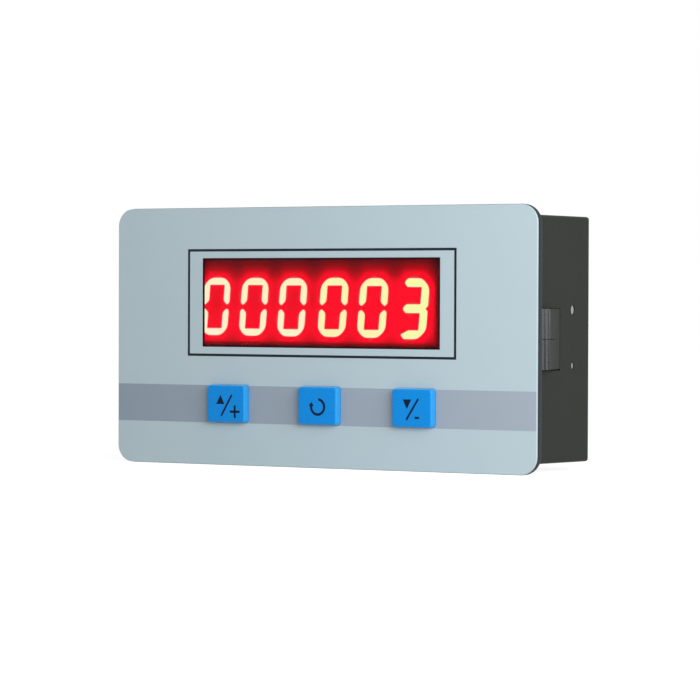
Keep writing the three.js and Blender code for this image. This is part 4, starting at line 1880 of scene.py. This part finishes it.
@dataclass
class PushKey:
    """A key: its cap with stop and stem, and the printed sign."""

    sign: KeySign
    proud: float = 1.3
    cap_rim: float = 0.4
    stop_thickness: float = 0.8
    stop_rim: float = 0.1
    stem_size: float = 4.0
    stem_length: float = 0.4
    ink_thickness: float = 0.015
    ink_root: float = 0.05
    ink_corner: float = 0.05
    ink_stroke: float = 0.36
    ring_stroke: float = 0.4
    slash_stroke: float = 0.32
    sign_spread: float = 1.0052
    sign_shift: Point = (0.17, -0.06)

    @property
    def body(self) -> Body:
        """Gives the body that the key moves with."""
        return Body[f"{self.sign.name}_KEY"]

    def build(self) -> None:
        """Makes the cap and its sign."""
        name = self.sign.value
        key = NodeBox.of(f"{name}_key")
        ink_front = LAYOUT.film.front - self.proud
        cap_front, cap_back = ink_front + self.ink_thickness, LAYOUT.key.back - self.stem_length
        cap = Draft().plate(key_loop(self.sign), (cap_front, cap_back), rims=(self.cap_rim, 0.0))
        stop = Draft().plate(
            key.loop(), (cap_back - self.stop_thickness, cap_back), rims=(self.stop_rim, 0.0)
        )
        stem = Draft().plate(
            box_loop(self.stem_size, self.stem_size, key.across, key.up),
            (cap_back - EMBED, LAYOUT.key.back),
        )
        piece = cap.to_object(f"{name}_key_cap")
        combine(piece, Combination.ADD, stop, stem)
        install(piece, KEY_ABS, self.body, [f"{name}_key"])
        ink = Draft()
        left = key.across * self.sign_spread + self.sign_shift[0]
        low = key.up + self.sign_shift[1]
        for loop in self.sign_loops():
            placed = [(left + x, low + z) for x, z in soften(loop, self.ink_corner, RIM_STEPS)]
            ink.plate(placed, (ink_front, cap_front + self.ink_root))
        install(ink.to_object(f"{name}_key_sign"), SIGN_INK, self.body)

    def sign_loops(self) -> list[Loop]:
        """Draws the sign round the middle of the key."""
        return {
            KeySign.PLUS: self.plus_sign, KeySign.RETURN: self.return_sign, KeySign.MINUS: self.minus_sign
        }[self.sign]()

    def plus_sign(self) -> list[Loop]:
        """Draws an upward triangle, a slash and a plus."""
        triangle = [(-1.88, 0.0), (-0.3, 0.0), (-1.06, 1.5)]
        slash = bar_loop((-0.91, -1.93), (1.13, 1.53), self.slash_stroke)
        across, up, reach_across, reach_up = 1.72, -1.2, 0.95, 1.04
        half = self.ink_stroke / 2
        quarter = [(-reach_across, -half), (-half, -half), (-half, -reach_up)]
        plus = [(across + x, up + z) for x, z in mirrored(quarter)]
        return [triangle, slash, plus]

    def return_sign(self) -> list[Loop]:
        """Draws a round arrow that is open at the upper left."""
        radius, up, start, end, steps = 1.22, -0.1, 84.0, -186.0, 36
        head_reach, head_length = 0.46, 0.66
        half = self.ring_stroke / 2
        angles = [math.radians(start + (end - start) * step / steps) for step in range(steps + 1)]
        outer = [((radius + half) * math.cos(a), up + (radius + half) * math.sin(a)) for a in angles]
        inner = [((radius - half) * math.cos(a), up + (radius - half) * math.sin(a)) for a in angles]
        last = angles[-1]
        outwards = Vector((math.cos(last), math.sin(last)))
        onwards = Vector((math.sin(last), -math.cos(last)))
        middle = outwards * radius + Vector((0.0, up))
        head = [
            tuple(middle + outwards * head_reach),
            tuple(middle + onwards * head_length),
            tuple(middle - outwards * head_reach),
        ]
        return [outer + head + inner[::-1]]

    def minus_sign(self) -> list[Loop]:
        """Draws a downward triangle, a slash and a minus."""
        triangle = [(-1.82, 1.43), (-1.06, -0.12), (-0.27, 1.43)]
        slash = bar_loop((-1.16, -1.79), (1.0, 1.56), self.slash_stroke)
        minus = bar_loop((0.35, -1.44), (1.15, -1.44), self.ink_stroke)
        return [triangle, slash, minus]


@dataclass
class FrontCase:
    """The moulded box: flange, walls, openings, and the bosses that take the board screws."""

    flange_radius: float = 3.1
    flange_front_rim: float = 0.05
    flange_back_rim: float = 0.25
    body_radius: float = 0.5
    body_back_rim: float = 0.25
    rear_drop: float = 0.3
    inner_radius: float = 0.4
    step_ledge: float = 0.7
    step_radius: float = 0.4
    clip_front_gap: float = 0.6
    clip_high_gap: float = 0.04
    clip_low_gap: float = 0.16
    hinge_gap: float = 0.012
    hole_gap: float = 0.07
    boss_radius: float = 2.2
    boss_across: float = 31.05
    boss_rise: float = 14.0
    drill_radius: float = 1.1
    drill_depth: float = 4.0

    def build(self) -> None:
        """Makes the case."""
        centre = LAYOUT.case.up
        flange = Draft().plate(
            rounded_loop(LAYOUT.case.width, LAYOUT.case.height, self.flange_radius, up=centre),
            (LAYOUT.flange_front, LAYOUT.flange_back),
            rims=(self.flange_front_rim, self.flange_back_rim),
        )
        box = Draft().plate(
            rounded_loop(2 * LAYOUT.side_across, LAYOUT.body_height, self.body_radius, up=centre),
            (LAYOUT.flange_front + EMBED, LAYOUT.case.back),
            rims=(0.0, self.body_back_rim),
        )
        self.flare(box)
        case = flange.to_object("case_shell")
        combine(case, Combination.ADD, box)
        combine(case, Combination.CUT, *self.cavities(), *self.side_openings())
        combine(case, Combination.ADD, *self.bosses())
        combine(case, Combination.CUT, *self.drills())
        behind_flange = (-OVERRUN, LAYOUT.case.back - LAYOUT.flange_back, -OVERRUN)
        # The flange's lighter, cooler colour is a painted highlight
        finish = TwoPart("front_case", PAINTED_LIT_RIM_ABS, CASE_ABS, AROUND, behind_flange)
        install(case, finish, replaces=["front_case"])

    def flare(self, box: Draft) -> None:
        """Lets the lower wall drop a little towards the rear.

        Args:
            box: the case behind the flange.
        """
        depth = LAYOUT.case.back - LAYOUT.flange_back
        for corner in box.mesh.verts:
            if corner.co.z < LAYOUT.case.up * MM:
                corner.co.z -= self.rear_drop * (corner.co.y - LAYOUT.flange_back * MM) / depth

    def cavities(self) -> list[Draft]:
        """Draws the inside, the cover's seat, the display opening and the key openings."""
        centre = LAYOUT.case.up
        inside = Draft().plate(
            rounded_loop(LAYOUT.inner_width, LAYOUT.inner_height, self.inner_radius, up=centre),
            (LAYOUT.wall_back, LAYOUT.case.back + OVERRUN),
        )
        seat = Draft().plate(
            rounded_loop(
                LAYOUT.inner_width + 2 * self.step_ledge,
                LAYOUT.inner_height + 2 * self.step_ledge,
                self.step_radius,
                up=centre,
            ),
            (LAYOUT.cover_front, LAYOUT.case.back + OVERRUN),
        )
        opening = Draft().plate(
            LAYOUT.sheet.loop(LAYOUT.sheet_margin),
            (LAYOUT.flange_front - OVERRUN, LAYOUT.wall_back + OVERRUN),
        )
        recess = Draft().plate(
            LAYOUT.sheet.loop(-LAYOUT.slide_gap), (LAYOUT.flange_front - OVERRUN, LAYOUT.sheet.back)
        )
        key_holes = [
            Draft().plate(
                key_loop(sign, LAYOUT.slide_gap),
                (LAYOUT.flange_front - OVERRUN, LAYOUT.wall_back + OVERRUN),
            )
            for sign in KeySign
        ]
        return [inside, seat, opening, recess, *key_holes]

    def side_openings(self) -> list[Draft]:
        """Draws the windows for the clips and the holes for the cover's nubs."""
        drafts = []
        for side in Side:
            drafts += self.clip_window(side)
            span = side_span(side, LAYOUT.inner_width / 2 - OVERRUN, LAYOUT.side_across + OVERRUN)
            for radius, up in LAYOUT.nubs():
                hole = nub_loop(radius, up, self.hole_gap)
                drafts.append(Draft().plate(hole, span, plane=Plane.SIDE))
        return drafts

    def clip_window(self, side: Side) -> list[Draft]:
        """Draws the window of one clip, with a round seat for the clip's hinge.

        Args:
            side: the clip's side.

        Returns:
            The window up to the hinge, and the seat.
        """
        clip = NodeBox.of(f"{side.name.lower()}_clip")
        front, hinge_back = clip.front - self.clip_front_gap, clip.back - LAYOUT.hinge_radius
        low, high = clip.low - self.clip_low_gap, clip.high + self.clip_high_gap
        span = side_span(side, LAYOUT.inner_width / 2 - OVERRUN, LAYOUT.side_across + OVERRUN)
        window = Draft().plate(
            box_loop(hinge_back - front, high - low, (hinge_back + front) / 2, (high + low) / 2),
            span,
            plane=Plane.SIDE,
        )
        hinge = (side.value * (LAYOUT.side_across - LAYOUT.hinge_radius), hinge_back)
        radius = LAYOUT.hinge_radius + self.hinge_gap
        profile = [(0.0, low), (radius, low), (radius, high), (0.0, high)]
        return [window, Draft().turned(profile, hinge, Plane.TOP)]

    def boss_places(self) -> list[Point]:
        """Gives the middle of each boss."""
        return [
            (side.value * self.boss_across, LAYOUT.case.up + rise)
            for side in Side
            for rise in (self.boss_rise, -self.boss_rise)
        ]

    def bosses(self) -> list[Draft]:
        """Draws the posts that the board lies on."""
        front, back = LAYOUT.wall_back - EMBED, LAYOUT.board.front
        profile = [(0.0, front), (self.boss_radius, front), (self.boss_radius, back), (0.0, back)]
        return [Draft().turned(profile, place) for place in self.boss_places()]

    def drills(self) -> list[Draft]:
        """Draws the screw holes in the posts."""
        front, back = LAYOUT.board.front - self.drill_depth, LAYOUT.board.front + OVERRUN
        profile = [(0.0, front), (self.drill_radius, front), (self.drill_radius, back), (0.0, back)]
        return [Draft().turned(profile, place) for place in self.boss_places()]


@dataclass
class RearCover:
    """The lid on the back, with the lead's port, two arms and their snap nubs."""

    seat_gap: float = 0.55
    corner_radius: float = 0.4
    back_rim: float = 0.25
    port_margin: float = 0.85
    port_corner: float = 0.4
    arm_thickness: float = 1.2
    arm_margin: float = 2.4
    arm_rim: float = 0.15
    nub_tip: float = 0.28
    nub_rim: float = 0.1

    @property
    def arm_outer(self) -> float:
        """Gives how far out the arms lie."""
        return LAYOUT.inner_width / 2 - LAYOUT.slide_gap

    def build(self) -> None:
        """Makes the cover and the ends of its nubs, which are painted pale as a highlight."""
        port = soften(NodeBox.of("lead_header").loop(-self.port_margin), self.port_corner)
        width = LAYOUT.inner_width + 2 * self.seat_gap
        lid = Draft().plate(
            rounded_loop(width, LAYOUT.cover.height, self.corner_radius, up=LAYOUT.case.up),
            (LAYOUT.cover_front, LAYOUT.case.back),
            [port],
            (0.0, self.back_rim),
        )
        cover = lid.to_object("snap_cover")
        combine(cover, Combination.ADD, *(self.arm(side) for side in Side), *self.nub_posts())
        install(cover, CASE_ABS, replaces=["rear_cover"])
        self.nub_ends()

    def arm(self, side: Side) -> Draft:
        """Draws the arm that carries one side's nubs."""
        across = side.value * (self.arm_outer - self.arm_thickness / 2)
        high = LAYOUT.case.up + LAYOUT.upper_nub_rise + self.arm_margin
        low = LAYOUT.case.up - LAYOUT.lower_nub_drop - self.arm_margin
        outline = box_loop(self.arm_thickness, high - low, across, (high + low) / 2)
        span = (LAYOUT.cover.front, LAYOUT.cover_front + EMBED)
        return Draft().plate(outline, span, rims=(self.arm_rim, 0.0))

    def nub_posts(self) -> list[Draft]:
        """Draws the posts of the nubs, up to their pale ends."""
        drafts = []
        for side in Side:
            span = side_span(side, self.arm_outer - EMBED, LAYOUT.cover.right - self.nub_tip)
            for radius, up in LAYOUT.nubs():
                drafts.append(Draft().plate(nub_loop(radius, up), span, plane=Plane.SIDE))
        return drafts

    def nub_ends(self) -> None:
        """Makes the round-rimmed ends of the nubs, painted pale as a highlight."""
        for side in Side:
            span = side_span(side, LAYOUT.cover.right - self.nub_tip, LAYOUT.cover.right)
            rims = (0.0, self.nub_rim)[:: side.value]
            for radius, up in LAYOUT.nubs():
                draft = Draft().plate(nub_loop(radius, up), span, rims=rims, plane=Plane.SIDE)
                level = "upper" if up > LAYOUT.case.up else "lower"
                name = f"{side.name.lower()}_{level}_nub_end"
                install(draft.to_object(name), NUB_HIGHLIGHT_ABS)


@dataclass
class SideClip:
    """One spring clip: two fingers with saw teeth that hold behind the panel."""

    side: Side
    nose_drop: float = 1.0
    tooth_count: int = 3
    tooth_pitch: float = 1.05
    tooth_step: float = 0.12
    tooth_drop: float = 0.2
    peak_back: float = 3.3
    ramp_end: float = 0.3
    edge_radius: float = 0.15
    end_rim: float = 0.18
    slit: float = 0.08
    slit_root: float = 3.0

    @property
    def node(self) -> str:
        """Names the clip's CAD node."""
        return f"{self.side.name.lower()}_clip"

    def build(self) -> None:
        """Makes the clip."""
        turn = self.side.value
        box = NodeBox.of(self.node)
        outline = [(turn * x, y) for x, y in soften(self.outline(), self.edge_radius, RIM_STEPS)]
        clip = (
            Draft()
            .plate(outline, (box.low, box.high), rims=(self.end_rim, self.end_rim), plane=Plane.TOP)
            .to_object(f"{self.side.name.lower()}_spring_clip")
        )
        front, back = box.front - OVERRUN, box.back - LAYOUT.hinge_radius - self.slit_root
        slit = box_loop(back - front, self.slit, (back + front) / 2, box.up)
        combine(
            clip,
            Combination.CUT,
            Draft().plate(slit, (box.left - OVERRUN, box.right + OVERRUN), plane=Plane.SIDE),
        )
        behind_teeth = box.back - box.front - self.peak_back - self.edge_radius
        finish = TwoPart(self.node, CLIP_ABS, CASE_ABS, AROUND, (-OVERRUN, behind_teeth, -OVERRUN))
        install(clip, finish, Body[f"{self.side.name}_CLIP"], [self.node])

    def outline(self) -> Loop:
        """Draws the right-hand clip, seen from above."""
        box = NodeBox.of("right_clip")
        peak = box.right
        teeth: Loop = []
        for index in range(self.tooth_count):
            from_peak = self.tooth_count - 1 - index
            tip = peak - from_peak * self.tooth_step
            back = box.front + self.peak_back - from_peak * self.tooth_pitch
            valley = tip - self.tooth_drop if index else peak - self.nose_drop
            teeth += [(valley, back), (tip, back)]
        radius = LAYOUT.hinge_radius
        across, back = box.left + radius, box.back - radius
        turns = [math.pi * step / CORNER_STEPS for step in range(CORNER_STEPS + 1)]
        root = [(across + radius * math.cos(a), back + radius * math.sin(a)) for a in turns]
        nose = [(box.left, box.front), (peak - self.nose_drop, box.front)]
        return [*nose, *teeth, (across + radius, back - self.ramp_end), *root]


@dataclass
class LeadHeader:
    """The shrouded header behind the port, and its five pins."""

    floor: float = 2.0
    wall: float = 0.9
    corner_radius: float = 0.3
    back_rim: float = 0.15
    pin_count: int = 5
    pin_pitch: float = 2.5
    pin_gap: float = 0.02
    pin_root_rim: float = 0.1
    pin_tip_rim: float = 0.2
    slot_width: float = 1.2
    slot_depth: float = 4.0

    def build(self) -> None:
        """Makes the shroud and the pins."""
        box, pin_box = NodeBox.of("lead_header"), NodeBox.of("header_pin_1")
        outer = soften(box.loop(), self.corner_radius)
        inner = soften(box.loop(self.wall), self.corner_radius)
        pins = {f"header_pin_{index}": x for index, x in enumerate(self.pin_places(), start=1)}
        size, floor_back = pin_box.height, box.front + self.floor
        hole = size + 2 * self.pin_gap
        pin_holes = [box_loop(hole, hole, x, box.up) for x in pins.values()]
        floor = Draft().plate(outer, (box.front, floor_back), pin_holes)
        shroud = Draft().plate(outer, (floor_back, box.back), [inner], (0.0, self.back_rim))
        header = floor.to_object("header_shroud")
        combine(header, Combination.ADD, shroud)
        combine(header, Combination.CUT, *self.slots(box))
        install(header, HEADER_NYLON, replaces=["lead_header"])
        for node, across in pins.items():
            pin = Draft().plate(
                box_loop(size, size, across, box.up),
                (pin_box.front, pin_box.back),
                rims=(self.pin_root_rim, self.pin_tip_rim),
            )
            name = node.replace("header", "square")
            install(pin.to_object(name), TIN_PLATE, replaces=[node])

    def pin_places(self) -> list[float]:
        """Gives the place of each pin across the header."""
        middle = (self.pin_count - 1) / 2
        return [(index - middle) * self.pin_pitch for index in range(self.pin_count)]

    def slots(self, box: NodeBox) -> list[Draft]:
        """Draws the two keying slots in the lower wall.

        Args:
            box: the header's box.

        Returns:
            A cutter for each slot, in line with the outer pins.
        """
        cut = self.wall + EMBED + OVERRUN
        up = box.low - OVERRUN + cut / 2
        return [
            Draft().plate(
                box_loop(self.slot_width, cut, across, up), (box.back - self.slot_depth, box.back + OVERRUN)
            )
            for across in (self.pin_places()[0], self.pin_places()[-1])
        ]


@dataclass
class Electronics:
    """The CAD nodes inside the case, which keep their shape and get their real finishes."""

    lead_reach: float = 1.1
    terminal_reach: float = 0.6
    can_base: float = 0.9
    leg_reach: float = 0.5
    leg_tail: float = 2.6
    display_pin_tail: float = 3.0

    def build(self) -> None:
        """Dresses every node that no new piece stands for."""
        finishes: dict[str, Finish] = {"circuit_board": BOARD_RESIST}
        for side in Side:
            name = side.name.lower()
            finishes[f"{name}_display_shell"] = SHELL_POLYCARBONATE
            finishes[f"{name}_display_segments"] = GUIDE_EPOXY
            finishes[f"{name}_display_board"] = TwoPart(
                node=f"{name}_display_board",
                inner=DISPLAY_LAMINATE,
                outer=TIN_PLATE,
                low_margin=(0.0, 0.0, 0.0),
                high_margin=(0.0, self.display_pin_tail, 0.0),
            )
            for level in ("top", "bottom"):
                finishes[f"board_screw_{name}_{level}"] = ZINC_PLATE
        for sign in KeySign:
            name = sign.value
            finishes[f"{name}_switch_base"] = TwoPart(
                node=f"{name}_switch_base",
                inner=SWITCH_NYLON,
                outer=TIN_PLATE,
                low_margin=(self.leg_reach, 0.0, 0.0),
                high_margin=(self.leg_reach, self.leg_tail, 0.0),
            )
            finishes[f"{name}_switch_plate"] = ROLLED_STEEL
            finishes[f"{name}_switch_dome"] = ROLLED_STEEL
            finishes[f"{name}_switch_plunger"] = SWITCH_NYLON
        finishes.update(self.chip_finishes())
        finishes.update(self.block_finishes())
        for node, finish in finishes.items():
            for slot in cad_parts[node].material_slots:
                slot.material = finish.material()
            LOG.info("%s: CAD node, %s", node, finish.name)

    def chip_finishes(self) -> dict[str, Finish]:
        """Gives the chips black bodies with tinned leads, and the cans black bases."""
        reach = self.lead_reach
        along_up, along_across = (0.0, 0.0, reach), (reach, 0.0, 0.0)
        margins = {
            "microcontroller": along_up,
            "led_driver": along_up,
            "memory_chip": along_up,
            "voltage_regulator": along_up,
            "optocoupler": along_across,
        }
        finishes: dict[str, Finish] = {
            node: TwoPart(node, CHIP_EPOXY, TIN_PLATE, margin, margin) for node, margin in margins.items()
        }
        for node in ("input_capacitor", "output_capacitor"):
            low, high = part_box(node)
            can_height = (high.y - low.y) / MM - self.can_base
            finishes[node] = TwoPart(
                node, SWITCH_NYLON, DRAWN_ALUMINIUM, (0.0, 0.0, 0.0), (0.0, can_height, 0.0)
            )
        return finishes

    def block_finishes(self) -> dict[str, Finish]:
        """Gives the small blocks their bodies and their tinned ends."""
        bodies = {
            "protection_diode": CHIP_EPOXY,
            **{f"resistor_{index}": RESISTOR_GLAZE for index in range(1, 5)},
            **{f"ceramic_capacitor_{index}": CAPACITOR_CERAMIC for index in range(1, 3)},
        }
        margin = (self.terminal_reach, 0.0, 0.0)
        return {node: TwoPart(node, body, TIN_PLATE, margin, margin) for node, body in bodies.items()}


@dataclass
class Studio:
    """The camera, the lamps, the pale floor and the white room."""

    camera_place: Triple = (0.274016, -0.454742, 0.027637)
    camera_turn: float = math.radians(31.152)
    camera_dip: float = math.radians(0.948)
    camera_roll: float = math.radians(0.194)
    lens: float = 167.47
    sensor: float = 36.0
    aim: Triple = (0.0, -0.0107, 0.021)
    key_azimuth: float = math.radians(56)
    key_elevation: float = math.radians(15)
    key_distance: float = 0.3
    key_width: float = 0.28
    key_height: float = 0.15
    key_power: float = 0.95
    room_light: float = 0.36
    floor_half: float = 3.0
    floor_white: float = 0.88
    floor_shade: float = 0.35
    floor_albedo: float = 0.75

    def build(self) -> None:
        """Sets up the whole studio."""
        bpy.context.scene.view_settings.view_transform = "Standard"
        self.camera()
        self.key_lamp()
        self.room()
        self.floor()

    def camera(self) -> None:
        """Sets the camera where the photograph's stood."""
        data = bpy.data.cameras.new("camera")
        data.lens = self.lens
        data.sensor_width = self.sensor
        camera = new_object("camera", data)
        camera.matrix_world = (
            Matrix.Translation(self.camera_place)
            @ Matrix.Rotation(self.camera_turn, 4, "Z")
            @ Matrix.Rotation(math.pi / 2 - self.camera_dip, 4, "X")
            @ Matrix.Rotation(self.camera_roll, 4, "Z")
        )
        bpy.context.scene.camera = camera

    def key_lamp(self) -> None:
        """Hangs the soft lamp in front, to the right and a little above."""
        data = bpy.data.lights.new("key_lamp", "AREA")
        data.energy = self.key_power
        data.shape = "RECTANGLE"
        data.size = self.key_width
        data.size_y = self.key_height
        lamp = new_object("key_lamp", data)
        back = Vector(
            (
                math.sin(self.key_azimuth) * math.cos(self.key_elevation),
                -math.cos(self.key_azimuth) * math.cos(self.key_elevation),
                math.sin(self.key_elevation),
            )
        )
        lamp.location = Vector(self.aim) + back * self.key_distance
        lamp.rotation_mode = "QUATERNION"
        lamp.rotation_quaternion = (-back).to_track_quat("-Z", "Y")

    def room(self) -> None:
        """Makes the world: even light on the object, and white where it is seen."""
        world = bpy.data.worlds.new("white_room")
        world.use_nodes = True
        world.node_tree.nodes.clear()
        tree = world.node_tree
        white = (1.0, 1.0, 1.0, 1.0)
        light = add_node(tree, "Background", sockets={"Color": white, "Strength": self.room_light})
        shown = add_node(tree, "Background", sockets={"Color": white, "Strength": 1.0})
        show_apart(tree, light, shown, "OutputWorld")
        bpy.context.scene.world = world

    def floor(self) -> None:
        """Lays the floor, which looks white and keeps the object's shadow."""
        size = 2 * self.floor_half / MM
        draft = Draft()
        draft.mesh.faces.new(draft.ring(box_loop(size, size), 0.0, Plane.TOP))
        floor = draft.to_object("floor")
        floor.data.materials.append(self.floor_material())

    def floor_material(self) -> bpy.types.Material:
        """Builds the floor's material: matt for the light, and whitened where it is seen."""
        made = bpy.data.materials.new("matt_white_board")
        made.use_nodes = True
        tree = made.node_tree
        tree.nodes.clear()
        lit = add_node(tree, "BsdfDiffuse", sockets={"Color": (*[self.floor_albedo] * 3, 1.0)})
        shade = add_node(tree, "BsdfDiffuse", sockets={"Color": (*[self.floor_shade] * 3, 1.0)})
        white = add_node(tree, "Emission", sockets={"Strength": self.floor_white})
        shown = add_node(tree, "AddShader", sockets={0: shade.outputs[0], 1: white.outputs[0]})
        show_apart(tree, lit, shown, "OutputMaterial")
        return made


def main() -> None:
    """Builds every sub-assembly and the studio."""
    logging.basicConfig(level=logging.INFO, format="%(name)s: %(message)s")
    Studio().build()
    sub_assemblies = [
        FacePanel(),
        Window(),
        Displays(),
        *(PushKey(sign) for sign in KeySign),
        FrontCase(),
        RearCover(),
        *(SideClip(side) for side in Side),
        LeadHeader(),
        Electronics(),
    ]
    for sub_assembly in sub_assemblies:
        sub_assembly.build()
        LOG.info("%s is in place", type(sub_assembly).__name__)


if __name__ == "__main__":
    main()
